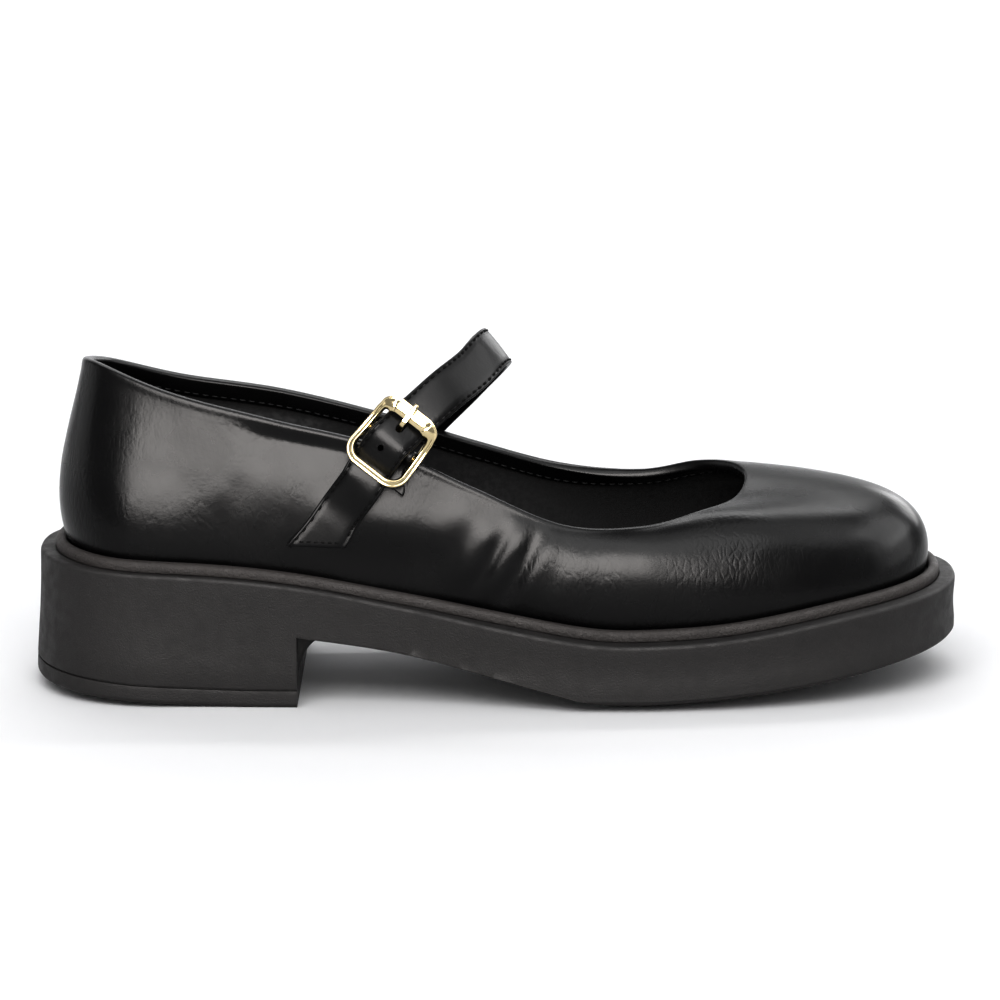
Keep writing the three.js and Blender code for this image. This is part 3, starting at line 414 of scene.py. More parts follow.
def subtract(obj, cutter):
    modifier = obj.modifiers.new("cut", "BOOLEAN")
    modifier.operation = "DIFFERENCE"
    modifier.solver = "EXACT"
    modifier.object = cutter
    depsgraph = bpy.context.evaluated_depsgraph_get()
    mesh = bpy.data.meshes.new_from_object(obj.evaluated_get(depsgraph))
    obj.modifiers.clear()
    obj.data = mesh
    bpy.data.objects.remove(cutter)


# ---- materials

class Look:
    """A procedural material: a principled shader with helpers that add its nodes."""

    def __init__(self, name, **values):
        self.material = bpy.data.materials.new(name)
        self.material.use_nodes = True
        self.nodes = self.material.node_tree.nodes
        self.links = self.material.node_tree.links
        self.shader = self.nodes["Principled BSDF"]
        for key, value in values.items():
            self.shader.inputs[key.replace("_", " ")].default_value = value
        coords = self.nodes.new("ShaderNodeTexCoord")
        self.coords = coords.outputs["Object"]
        self.height = None

    def feed(self, socket, value):
        if isinstance(value, bpy.types.NodeSocket):
            self.links.new(value, socket)
        else:
            socket.default_value = value

    def add(self, kind, **inputs):
        """A new node with its inputs linked or set."""
        node = self.nodes.new("ShaderNode" + kind)
        for name, value in inputs.items():
            self.feed(node.inputs[name.replace("_", " ")], value)
        return node

    def place(self, stretch):
        if stretch is None:
            return self.coords
        return self.add("Mapping", Scale=stretch, Vector=self.coords).outputs["Vector"]

    def noise(self, scale, detail=3.0, roughness=0.5, stretch=None):
        return self.add("TexNoise", Scale=scale, Detail=detail, Roughness=roughness,
                        Vector=self.place(stretch)).outputs["Fac"]

    def cells(self, scale, feature="DISTANCE_TO_EDGE", randomness=1.0, stretch=None):
        node = self.add("TexVoronoi", Scale=scale, Randomness=randomness,
                        Vector=self.place(stretch))
        node.feature = feature
        return node.outputs["Distance"]

    def remap(self, value, low, high, to_low, to_high):
        node = self.add("MapRange", Value=value, From_Min=low, From_Max=high,
                        To_Min=to_low, To_Max=to_high)
        node.interpolation_type = "SMOOTHSTEP"
        return node.outputs["Result"]

    def math(self, operation, a, b):
        node = self.add("Math")
        node.operation = operation
        self.feed(node.inputs[0], a)
        self.feed(node.inputs[1], b)
        return node.outputs["Value"]

    def colour(self, value, low, high):
        node = self.add("Mix")
        node.data_type = "RGBA"
        self.feed(node.inputs["Factor"], value)
        self.feed(node.inputs["A"], (*low, 1))
        self.feed(node.inputs["B"], (*high, 1))
        self.feed(self.shader.inputs["Base Color"], node.outputs["Result"])

    def roughness(self, value, low, high):
        self.feed(self.shader.inputs["Roughness"], self.remap(value, 0.3, 0.7, low, high))

    def bump(self, value, distance, strength=1.0):
        """One more layer of relief over the layers before it."""
        node = self.add("Bump", Strength=strength, Distance=distance, Height=value)
        if self.height is not None:
            self.feed(node.inputs["Normal"], self.height)
        self.height = node.outputs["Normal"]
        self.feed(self.shader.inputs["Normal"], self.height)


def leather_look(name, rough, crease):
    """Smooth coated black leather: fine creases in patches, pores and an uneven gloss."""
    look = Look(name, Specular_IOR_Level=0.2)
    patches = look.remap(look.noise(26, 3), 0.44, 0.64, 0.1, 1)
    bend = look.remap(look.cells(560, stretch=(1.0, 1.0, 0.4)), 0, 0.25, 0, 1)
    look.colour(look.noise(30, 4), (0.0024, 0.0023, 0.0026), (0.0042, 0.004, 0.0042))
    look.roughness(look.noise(60, 4), rough - 0.02, rough + 0.04)
    look.bump(look.noise(22, 3), 0.0007, 0.45)
    look.bump(look.noise(190, 3, 0.6, (1.0, 1.0, 0.6)), 0.00018, 0.4)
    look.bump(look.math("MULTIPLY", bend, patches), 0.000045, crease)
    look.bump(look.noise(1500, 2), 0.00004, 0.5)
    return look.material


def rubber_look(name, dark, light, grain, distance):
    """Matte moulded sole: fine grain, a little shading in the moulding and a few pale specks."""
    look = Look(name, Specular_IOR_Level=0.3)
    specks = look.remap(look.cells(150, "F1"), 0.035, 0.06, 1, 0)
    chosen = look.remap(look.noise(95, 2), 0.66, 0.7, 0, 1)
    tone = look.math("ADD", look.noise(55, 5, 0.6), look.math("MULTIPLY", specks, chosen))
    pale = tuple(2.2 * channel for channel in light)
    look.colour(look.math("MULTIPLY", tone, 0.5), dark, pale)
    look.roughness(look.noise(240, 3), 0.5, 0.68)
    look.bump(look.noise(45, 3), 0.0004, 0.2)
    look.bump(look.noise(grain, 4, 0.65), distance, 0.8)
    return look.material


def cloth_look(name, dark, light, scale):
    look = Look(name, Specular_IOR_Level=0.25, Sheen_Weight=0.06, Sheen_Roughness=0.5)
    look.colour(look.noise(scale * 0.2, 4), dark, light)
    look.roughness(look.noise(scale * 0.5, 3), 0.7, 0.9)
    look.bump(look.cells(scale, randomness=0.8), 0.0001, 0.7)
    return look.material


def metal_look(name, low, high, rough):
    look = Look(name, Metallic=1.0)
    look.colour(look.noise(120, 3), low, high)
    look.roughness(look.noise(700, 2, stretch=(1, 1, 6)), rough, rough + 0.07)
    look.bump(look.noise(160, 2), 0.0001, 0.25)
    return look.material


def thread_look(name, dark, light, gloss):
    look = Look(name, Specular_IOR_Level=gloss)
    look.colour(look.noise(900, 2), dark, light)
    look.roughness(look.noise(1500, 2), 0.6, 0.8)
    look.bump(look.noise(2500, 2, stretch=(1, 1, 3)), 0.0001, 0.5)
    return look.material


UPPER = leather_look("upper_leather", 0.26, 0.6)
STRAP = leather_look("strap_leather", 0.3, 0.3)
SOLE = rubber_look("sole_rubber", (0.0135, 0.0124, 0.0123), (0.0172, 0.0158, 0.0156),
                   1900, 0.0002)
WELT = rubber_look("welt_rubber", (0.027, 0.0232, 0.022), (0.048, 0.042, 0.0395), 1300, 0.0005)
LINING = cloth_look("lining_microfibre", (0.0055, 0.0055, 0.0062), (0.0095, 0.0095, 0.0107),
                    1400)
SOCK = cloth_look("sock_leatherette", (0.003, 0.003, 0.0035), (0.0055, 0.0055, 0.006), 1100)
EDGE = cloth_look("strap_edge", (0.012, 0.012, 0.0125), (0.02, 0.02, 0.021), 1600)
BOARD = cloth_look("insole_fibre", (0.2, 0.145, 0.085), (0.3, 0.23, 0.15), 700)
FELT = cloth_look("felted_foam", (0.05, 0.05, 0.053), (0.09, 0.09, 0.095), 500)
GOLD = metal_look("pale_gold", (0.56, 0.47, 0.28), (0.64, 0.55, 0.35), 0.11)
STEEL = metal_look("spring_steel", (0.3, 0.31, 0.33), (0.42, 0.43, 0.45), 0.3)
THREAD = thread_look("black_thread", (0.003, 0.003, 0.003), (0.007, 0.007, 0.007), 0.1)
LINING_THREAD = thread_look("lining_thread", (0.008, 0.008, 0.009), (0.016, 0.016, 0.017), 0.2)

# ---- unit sole

BLOCK_SHARE = (HEEL_SHARE + (1 - HEEL_SHARE - TOE_SHARE)
               * (HEEL_BLOCK - HEEL_CAP) / (TOE_START - HEEL_CAP))
SIDE_COLUMNS = 240


def sole_turns():
    """Outer side columns with a pair at the heel breast, then the same mirrored."""
    base = np.linspace(0, 1, SIDE_COLUMNS + 1)
    share = np.sort(np.concatenate([base, [BLOCK_SHARE - 1e-5, BLOCK_SHARE + 1e-5]]))
    return np.concatenate([share, 2 - share[-2:0:-1]]), len(share) - 1


def sole_grid(turns):
    """Rows from the tread up the side to the rim."""
    s = outline(turns)[..., 0]
    heel = s < HEEL_BLOCK
    on_heel = np.where(heel, 1.0, 0.0)
    tread = ease((s - HEEL_BLOCK - 5) / 50)
    flare = -1.7 * ease(1 - s / HEEL_BLOCK)
    inset, rise = lerp(1.0, 11.0, tread), lerp(1.0, 2.9, tread)
    base = floor_at(s)
    top = bed(s)
    ledge = ledge_at(turns)
    rows = [(flare + inset + 6, base)]
    for a, b in ((1, 0), (0.75, 0.05), (0.5, 0.25), (0.3, 0.5), (0.15, 0.74), (0.05, 0.92)):
        rows.append((flare + a * inset, base + b * rise))
    rows.append((flare, base + rise + 0.5))
    # The line between the heel's body and its top lift.
    for height, depth in ((3.6, 0), (4.6, 0), (4.95, 0.08), (5.08, 0.75), (5.3, 0.8),
                          (5.42, 0.75), (5.55, 0.08), (5.9, 0)):
        rows.append((flare * lerp(1, 0.93, height / 5.2) + depth * on_heel, base + height))
    for share in (0.24, 0.34, 0.45, 0.56, 0.67, 0.78, 0.88):
        lean = lerp(flare, 0, share) + 0.35 * np.sin(np.pi * share)
        rows.append((lean, lerp(base + 6, top - 2, share)))
    rows.append((0 * s, top - 1.4))
    for angle in np.arange(6) / 5 * math.pi / 2:
        rows.append((1.1 * (1 - math.cos(angle)) + 0 * s, top - 1.1 * (1 - math.sin(angle))))
    rows += [(ledge - 0.25, top), (ledge + 0.15, top - 0.35), (ledge + 3.6, top - 0.35)]
    arch = np.where(heel, -50, arch_at(s))
    # Rows that the arch pushes up stay a hair apart, so that no face is flat to nothing.
    grid = np.stack([
        raised(inset_outline(turns, inward),
               np.maximum(height, np.minimum(arch + 0.02 * number, top - 3)))
        for number, (inward, height) in enumerate(rows)], 1)
    # The column pair at the breast stays on the breast's own plane.
    pair = np.abs(s - HEEL_BLOCK) < 0.05
    grid[pair, :, 0] = HEEL_BLOCK + np.where(heel[pair], -0.004, 0.004)[:, None]
    return grid


BOX_FACES = (3, 2, 1, 0), (4, 5, 6, 7), (0, 1, 5, 4), (1, 2, 6, 5), (2, 3, 7, 6), (3, 0, 4, 7)


def block_cutter(boxes):
    vertices, faces = [], []
    for s0, s1, y0, y1, z0, z1 in boxes:
        start = len(vertices)
        corners = ((s0, y0), (s1, y0), (s1, y1), (s0, y1))
        vertices += [(s, y, z) for z in (z0, z1) for s, y in corners]
        faces += [tuple(start + i for i in face) for face in BOX_FACES]
    return shoe_object("cutter", vertices, faces, SOLE, False)


GROOVE_PITCH, GROOVE_HALF, GROOVE_DEPTH = 9.0, 1.1, 0.9
HEEL_GROOVES, TREAD_GROOVES = (22, 58), (190, 240)


def tread_grooves():
    """Shallow cross grooves under the heel, and under the tread, where they get shorter."""
    boxes = []
    for (first, last), start_width in ((HEEL_GROOVES, 24.0), (TREAD_GROOVES, 38.0)):
        for s in np.arange(first, last + 0.1, GROOVE_PITCH):
            width = lerp(start_width, 24.0, (s - first) / (last - first))
            s0, s1 = s - GROOVE_HALF, s + GROOVE_HALF
            bottom = max(floor_at(s0), floor_at(s1))
            middle = float(centre_line(s))
            boxes.append((s0, s1, middle - width, middle + width,
                          bottom - 3, bottom + GROOVE_DEPTH))
    return boxes


turns, sides = sole_turns()
sole = plate_object("sole_body", sole_grid(turns), sides, SOLE)
subtract(sole, block_cutter(tread_grooves()))
shade_over(sole, 38)
attach(sole, "root", "sole", "outsole", "heel_top_lift")


def breast_web():
    """The fillet behind the heel breast, set in from both sides."""
    corner = np.array([HEEL_BLOCK, float(bed(HEEL_BLOCK)) - ARCH_THICKNESS])
    p0, p1, p2 = corner + (-0.1, -14), corner + (1.2, -2), corner + (10, -1)
    curve = [(1 - u) ** 2 * p0 + 2 * u * (1 - u) * p1 + u * u * p2 for u in np.linspace(0, 1, 14)]
    profile = [corner + (-2, -14), *curve, corner + (10, 2), corner + (-2, 2)]
    widths = [(-30.5, 0.8), (-29.9, 0.25), (-29.2, 0.0), (26.7, 0.0), (27.4, 0.25), (28.0, 0.8)]
    grid = [[(s - shrink, y, z + shrink) for s, z in profile] for y, shrink in widths]
    return band_object("breast_web", grid, SOLE)


web = breast_web()
shade_over(web, 38)
attach(web, "root", "sole")

ROUND = np.arange(480) / 240


# The welt's section, from its foot outside over the top to its foot inside: inward, up.
WELT_PROFILE = [
    (0.15, 0.0), (0.0, 0.6), (0.0, 1.4), (0.06, 2.1), (0.3, 2.7), (0.75, 3.15), (1.3, 3.35),
    (1.9, 3.4), (2.5, 3.3), (2.95, 3.0), (3.15, 2.5), (3.1, 1.0), (WELT_WIDTH, 0.0),
]


def welt():
    s = outline(ROUND)[..., 0]
    ledge = ledge_at(ROUND)
    grid = np.stack([raised(inset_outline(ROUND, ledge + inward), bed(s) + height - 0.2)
                     for inward, height in WELT_PROFILE], 1)
    return hoop_object("welt_band", grid, WELT)


attach(welt(), "root", "sole", "welt_strip")

# ---- upper and inside

# Folds as the side view shows them: both ends (s, z), width, height (less than 0 is a hollow)
# and the side of the foot, -1 for the outer and 1 for the inner.
FOLDS = [
    (132, 52, 124, 37, 2.6, 0.7, -1), (141, 51, 131, 33, 2.8, 0.75, -1),
    (150, 49, 141, 31, 2.8, 0.7, -1), (136.5, 50, 128, 35, 1.6, -0.65, -1),
    (146, 49, 136, 32, 1.8, -0.75, -1), (159, 45, 149, 28, 4.2, 0.45, -1),
    (84, 57, 112, 50, 6.0, 1.1, -1), (88, 45, 118, 40, 6.0, -0.8, -1),
    (64, 78, 100, 76, 5.0, -0.95, -1), (126, 58, 116, 46, 4.0, 0.5, -1),
    (55, 60, 62, 78, 3.0, 0.25, -1), (150, 50, 139, 34, 3.0, 0.4, 1),
    (139, 54, 128, 38, 3.2, -0.45, 1),
]


def fold_height(points, side):
    """How far the folds lift the shell at points, for the side of the foot given as -1 or 1."""
    total = np.zeros(points.shape[:-1])
    on_side = ease((side * (points[..., 1] - 4) + 2) / 14)
    for s0, z0, s1, z1, width, height, fold_side in FOLDS:
        a, b = np.array([s0, z0], float), np.array([s1, z1], float)
        along = b - a
        length = np.linalg.norm(along)
        along /= length
        rel = points[..., [0, 2]] - a
        u = rel @ along
        v = rel @ np.array([-along[1], along[0]])
        fade = 0.7 * length
        ends = ease((u + fade / 2) / fade) * ease((length + fade / 2 - u) / fade)
        total += np.where(fold_side == side, height, 0) * np.exp(-0.5 * (v / width) ** 2) * ends
    return total * on_side


def unevenness(points):
    shift = Vector((7, 3, 1))
    values = [noise.noise(Vector(p) * 0.045) + 0.4 * noise.noise(Vector(p) * 0.11 + shift)
              for p in points.reshape(-1, 3)]
    return np.array(values).reshape(points.shape[:-1])


BINDING_DEPTH, TOP_THICKNESS = 5.0, 3.2
LEATHER, FLANGE = 1.2, 13


def topline_rows(turn):
    """Where the topline binding ends, as a height r for each column."""
    controls = rib_controls(turn)
    speed = 3 * np.linalg.norm(controls[3] - controls[2], axis=-1)
    return 1 - BINDING_DEPTH / np.maximum(speed, 4 * BINDING_DEPTH)


def upper_shell():
    """Up the outside, over the rolled top edge, down inside the leather and in under the foot."""
    rows = np.linspace(0, 1, 84) ** 0.96
    turn = ROUND[:, None]
    outside, normal = shell(turn, rows[None, :])
    puff = 0.22 * unevenness(outside) * np.sin(np.pi * np.clip(rows, 0.02, 0.98))[None, :]
    rise = fold_height(outside, -1) + fold_height(outside, 1)
    fade = ease((1 - rows) / 0.12) * ease(rows / 0.1)
    outside = outside + normal * (puff + rise * fade[None, :])[..., None]
    # A soft bead along the folded top edge.
    bead = 0.1 * np.exp(-0.5 * ((rows - 0.985) / 0.012) ** 2)
    outside = outside + normal * bead[None, :, None]
    edge, edge_normal = shell(ROUND, np.ones_like(ROUND))
    before = shell(ROUND, np.full_like(ROUND, 0.99))[0]
    up = unit(edge - before)
    roll = []
    for step in range(1, 12):
        angle = step / 12 * math.pi
        depth = TOP_THICKNESS / 2 * (1 - math.cos(angle))
        roll.append(edge - edge_normal * depth + up * (0.95 * math.sin(angle) ** 0.75))
    lower = topline_rows(ROUND)
    inside = []
    for share in (0, 0.15, 0.35, 0.55, 0.75, 0.9, 0.97):
        depth = TOP_THICKNESS + 0.12 * math.sin(math.pi * share)
        inside.append(shell(ROUND, lerp(1.0, lower, share), depth)[0])
    inside.append(shell(ROUND, lower, TOP_THICKNESS - 0.2)[0])
    inside.append(shell(ROUND, lower - 0.004, 2 * LEATHER)[0])
    hidden = [shell(ROUND, lower * share, LEATHER)[0] for share in (0.96, 0.8, 0.6, 0.4, 0.2, 0.0)]
    flange = inset_outline(ROUND, feather_inset(ROUND) + FLANGE)
    flange_top = raised(flange, bed(flange[..., 0]) + 1.5)
    rest = np.stack([*roll, *inside, *hidden, flange_top, flange_top - (0, 0, LEATHER)], 1)
    return hoop_object("upper_shell", np.concatenate([outside, rest], 1), UPPER)


attach(upper_shell(), "root", "leather", "upper", "topline_binding")


LINING_THICKNESS, LINING_CLEAR = 0.8, 1.9


def lining_depth(turn, r):
    """The lining's outer face: deeper where a stiffener lies behind it."""
    t = np.mod(turn, 2.0)
    from_back = np.minimum(t, 2 - t)
    heel = ease((0.38 - from_back) / 0.08) * ease((0.86 - r) / 0.1)
    toe = ease((0.27 - np.abs(t - 1)) / 0.07) * ease((0.76 - r) / 0.1)
    return 1.5 + 1.55 * np.maximum(heel, toe)


def lining_shell():
    share = np.linspace(0, 1, 52)
    turn = ROUND[:, None]
    r = share[None, :] * (topline_rows(ROUND)[:, None] + 0.02)
    depth = lining_depth(np.broadcast_to(turn, r.shape), r)
    outer = shell(turn, r, depth)[0]
    inner = shell(turn, r, depth + LINING_THICKNESS + 0.1 * np.sin(9 * turn))[0]
    for face in (inner, outer):
        face[..., 2] += np.maximum(bed(face[..., 0]) + LINING_CLEAR - face[..., 2], 0)
    return hoop_object("lining_shell", np.concatenate([outer, inner[:, ::-1]], 1), LINING), inner


lining, lining_face = lining_shell()
attach(lining, "root", "lining", "quarter_lining", "vamp_lining")

SOCK_TOP, SOCK_DISH, SOCK_THICKNESS = 7.8, 0.9, 0.8


def sock():
    """The inner sock: meets the lining all round and dishes a little under the foot."""
    height = lining_face[..., 2] - bed(lining_face[..., 0])
    around = np.arange(len(ROUND))
    row = np.argmax(height > SOCK_TOP, axis=1)
    low, high = height[around, row - 1], height[around, row]
    rim = lerp(lining_face[around, row - 1], lining_face[around, row],
               ((SOCK_TOP - low) / (high - low))[:, None])
    across = np.linspace(0, 1, 25)
    top = []
    for k in range(1, len(ROUND) // 2):
        left, right = rim[k], rim[-k]
        line = lerp(left, right, across[:, None])
        dish = SOCK_DISH * np.sin(np.pi * across) ** 0.6 * min(1, np.linalg.norm(right - left) / 30)
        line[:, 2] = bed(line[:, 0]) + SOCK_TOP - dish
        top.append(line)
    top = np.array(top)
    low = top - (0, 0, SOCK_THICKNESS)
    return band_object("sock_sheet", np.concatenate([top, low[:, ::-1]], 1), SOCK)


attach(sock(), "root", "lining", "sock_cover")

# ---- buckle frame of reference

JOINTS = {joint["name"]: joint for joint in frame["joints"]}


def from_row(point):
    """From the frame's metres to shoe millimetres."""
    p = np.array(point, float) / MM
    return p + np.array([SOLE_LENGTH / 2 - FOOTPRINT_SHIFT[0], -FOOTPRINT_SHIFT[1], 0])


BUCKLE = from_row(JOINTS["buckle_rock"]["pos_m"])
# The strap's direction at the buckle, up towards the instep, and the way out from the foot.
LEAN = unit(np.array([0.614, 0.248, 0.748]))
OUT = np.array([-0.016, -0.933, 0.322])
OUT = unit(OUT - LEAN * (OUT @ LEAN))
ACROSS = np.cross(OUT, LEAN)


def in_buckle(u, v, n):
    """Buckle coordinates: u along the strap to the instep, v across it, n away from the foot."""
    u, v, n = np.broadcast_arrays(np.asarray(u, float), np.asarray(v, float), np.asarray(n, float))
    return BUCKLE + u[..., None] * LEAN + v[..., None] * ACROSS + n[..., None] * OUT


BUCKLE_LENGTH, BUCKLE_WIDTH, BUCKLE_CORNER = 22.8, 20.2, 4.6
ARM_WIDTH, TOP_BAR_WIDTH, RING_THICKNESS = 2.3, 3.2, 2.0
TOP_BAR_SPREAD = 1.3
ARM_CENTRE = BUCKLE_WIDTH / 2 - ARM_WIDTH / 2
BAR_END = BUCKLE_LENGTH / 2 - ARM_WIDTH / 2
BAR_RADIUS, PIN_RADIUS = 0.9, 0.45
TAB_INSIDE, TAB_LEATHER = BAR_RADIUS + 0.35, 0.9
STRAP_OVER_TAB = TAB_INSIDE + TAB_LEATHER + 0.3
STRAP_WIDTH, STRAP_THICKNESS = 12.8, 2.0
PRONG_SHIFT, PRONG_WIDTH = 0.5, 1.5


def bow_at(u):
    """How far the ring bends out over the strap."""
    return 0.2 + 3.2 * (u / BAR_END) ** 2


STRAIGHT = 0.2


def ring_path(share):
    """Centre line of the buckle ring and its outward direction, both as (u, v).

    Each quarter is a corner between two straights that take a fifth of it each.
    """
    straight = np.array([BAR_END - BUCKLE_CORNER, ARM_CENTRE - BUCKLE_CORNER])
    corner = int(share * 4) % 4
    local = share * 4 - int(share * 4)
    sign = np.array([(1, 1), (-1, 1), (-1, -1), (1, -1)][corner])
    angle = (corner + min(max((local - STRAIGHT) / (1 - 2 * STRAIGHT), 0), 1)) * math.pi / 2
    along = np.array([math.cos(angle), math.sin(angle)])
    point = sign * straight + BUCKLE_CORNER * along
    if local < STRAIGHT:
        point[(corner + 1) % 2] *= local / STRAIGHT
    elif local > 1 - STRAIGHT:
        point[corner % 2] *= 1 - (local - (1 - STRAIGHT)) / STRAIGHT
    # The ring narrows a little towards the instep.
    point[1] *= 1 - 0.05 * point[0] / BAR_END
    return point, along


def ring_profile(half):
    """Across the arm from inside to outside: a rounded crown, then a step down to a thin rim."""
    crown, middle = half - 0.4, -0.4
    top = [(middle + crown * x, 1.0 - 0.66 * x * x)
           for x in (-0.97, -0.85, -0.6, -0.3, 0, 0.3, 0.6, 0.85, 0.97)]
    return [(-half + 0.25, -0.95), (-half + 0.05, -0.7), (-half, -0.2), (-half, 0.3), *top,
            (half - 0.72, 0.36), (half - 0.6, 0.3), (half - 0.42, 0.42), (half - 0.22, 0.42),
            (half - 0.06, 0.28), (half, 0.1), (half, -0.5), (half - 0.12, -0.8), (half - 0.4, -1.0),
            (0.0, -1.0)]


SHOULDER_AT, SHOULDER_WIDTH, SHOULDER_DEPTH = 5.6, 0.28, 0.22


def buckle_ring():
    columns = []
    for share in np.arange(200) / 200:
        (u, v), along = ring_path(share)
        top = float(ease((u - 0.62 * BAR_END) / (0.3 * BAR_END)))
        half = lerp(ARM_WIDTH, TOP_BAR_WIDTH + TOP_BAR_SPREAD, top) / 2
        inward = TOP_BAR_SPREAD / 2 * top
        # Shoulder lines where the wide top bar begins.
        line = math.exp(-(((abs(v) - SHOULDER_AT) / SHOULDER_WIDTH) ** 2))
        shoulder = SHOULDER_DEPTH * line if u > 0.9 * BAR_END else 0
        columns.append([in_buckle(u + along[0] * a - inward, v + along[1] * a,
                                  bow_at(u) + b - (shoulder if b > 0.5 else 0))
                        for a, b in ring_profile(half)])
    return hoop_object("buckle_ring", columns, GOLD)


def turned_object(name, profile, material, steps=32):
    """A profile of (radius, v) turned round the buckle's bar."""
    angles = np.arange(steps) / steps * 2 * math.pi
    grid = [[in_buckle(r * math.cos(a), v, r * math.sin(a)) for r, v in profile] for a in angles]
    return tube_object(name, grid, material)


def buckle_pin():
    shoulder, tip = ARM_CENTRE - ARM_WIDTH / 2 - 0.25, ARM_CENTRE + 0.35
    half = [(PIN_RADIUS, tip), (PIN_RADIUS, shoulder + 0.02), (BAR_RADIUS - 0.1, shoulder),
            (BAR_RADIUS, shoulder - 0.12), (BAR_RADIUS, 0)]
    profile = [(r, -v) for r, v in half] + [(r, v) for r, v in reversed(half[:-1])]
    return turned_object("buckle_pin", profile, GOLD)


PRONG_REST = bow_at(BAR_END) + RING_THICKNESS / 2 + 0.2


def prong():
    """Wraps the bar, comes up through the strap and lies on the top bar with a rounded tip."""
    reach = BAR_END + TOP_BAR_WIDTH / 2 + 0.6
    middle = BAR_RADIUS + 0.65
    path = [(middle * math.cos(a), middle * math.sin(a), 0.4)
            for a in np.linspace(0.75, 2 * math.pi - 0.2, 26)]
    path += [(2.4, 0.28, 0.44), (3.1, 0.62, 0.48), (3.9, 1.5, 0.5), (4.7, 2.9, 0.5),
             (5.3, 4.1, 0.5), (5.9, PRONG_REST + 0.42, 0.5), (6.8, PRONG_REST + 0.5, 0.5),
             (9.0, PRONG_REST + 0.5, 0.5), (reach - 1.0, PRONG_REST + 0.48, 0.48),
             (reach - 0.2, PRONG_REST + 0.44, 0.42), (reach + 0.2, PRONG_REST + 0.4, 0.25)]
    columns = []
    for i, (u, n, thick) in enumerate(path):
        a, b = path[max(i - 1, 0)], path[min(i + 1, len(path) - 1)]
        along = unit(np.array([b[0] - a[0], b[1] - a[1]]))
        side = np.array([-along[1], along[0]])
        half = PRONG_WIDTH / 2 * (0.72 if i == len(path) - 1 else 1)
        edge, low = half - 0.14, thick * 0.6
        profile = [(-half, -low), (-half, low), (-edge, thick), (0, thick * 1.06), (edge, thick),
                   (half, low), (half, -low), (edge, -thick), (-edge, -thick)]
        columns.append([in_buckle(u + side[0] * h, PRONG_SHIFT + v, n + side[1] * h)
                        for v, h in profile])
    obj = band_object("prong_strip", columns, GOLD)
    shade_over(obj, 50)
    return obj


attach(buckle_ring(), "buckle", "gold", "buckle_frame")
attach(buckle_pin(), "buckle", "gold", "buckle_bar")
attach(prong(), "prong", "gold", "buckle_prong")

# ---- stitches


class Stitches:
    """Short threads that sink into the leather at both ends, gathered into one piece."""

    ROUNDS, STEPS = 8, 7

    def __init__(self):
        self.vertices, self.faces = [], []

    def add(self, centre, along, up, length, radius):
        across = np.cross(up, along)
        start = len(self.vertices)
        for share in np.arange(self.STEPS) / (self.STEPS - 1):
            arc = math.sin(math.pi * share)
            thick = radius * (0.45 + 0.55 * arc ** 0.5)
            middle = (centre + along * ((share - 0.5) * length)
                      + up * (radius * (1.1 * arc - 0.55)))
            for k in range(self.ROUNDS):
                angle = 2 * math.pi * k / self.ROUNDS
                self.vertices.append(middle + across * (thick * math.cos(angle))
                                     + up * (thick * math.sin(angle)))
        self.faces += grid_faces(self.STEPS, self.ROUNDS, False, True, start)
        for end in (start, len(self.vertices) - self.ROUNDS):
            self.faces.append(tuple(range(end, end + self.ROUNDS)))

    def finish(self, name, material):
        return shoe_object(name, self.vertices, self.faces, material)


LINING_PITCH = 2.8


def lining_stitches():
    """One row below the topline, through the binding's lower edge."""
    rows = Stitches()
    turn = np.linspace(0, 2, 1600, endpoint=False)
    lower = topline_rows(turn)
    r = lerp(lower, 1.0, 0.2)
    points, normal = shell(turn, r, TOP_THICKNESS + 0.12)
    step = np.linalg.norm(np.roll(points, -1, 0) - points, axis=1)
    length = np.cumsum(step)
    count = int(length[-1] / LINING_PITCH)
    for k in range(count):
        i = int(np.searchsorted(length, (k + 0.5) * length[-1] / count)) % len(turn)
        along = unit(points[(i + 2) % len(turn)] - points[i - 2])
        up = -normal[i]
        up = unit(up - along * (up @ along))
        rows.add(points[i], along, up, 1.9, 0.2)
    return rows.finish("topline_stitches", LINING_THREAD)


attach(lining_stitches(), "root", "lining")

# ---- strap


def on_upper(s, z, turn):
    """Where a side view point meets the upper's outer face, with the normal there."""
    t, r = turn, 0.7
    for _ in range(12):
        here = on_rib(rib_controls(np.array(t)), r)
        along_t = (on_rib(rib_controls(np.array(t + 1e-3)), r) - here) * 1e3
        along_r = (on_rib(rib_controls(np.array(t)), r + 1e-3) - here) * 1e3
        ds, dz = s - here[0], z - here[2]
        det = along_t[0] * along_r[2] - along_r[0] * along_t[2]
        t += (ds * along_r[2] - along_r[0] * dz) / det
        r = min(max(r + (along_t[0] * dz - ds * along_t[2]) / det, 0.02), 0.98)
    return shell(t, r)


STRAP_CLEARANCE = 1
STRAP_UNDER_BAR = bow_at(BAR_END) - RING_THICKNESS / 2 - STRAP_CLEARANCE - STRAP_THICKNESS
HINGE_AT = -(BUCKLE_LENGTH / 2 + 2)


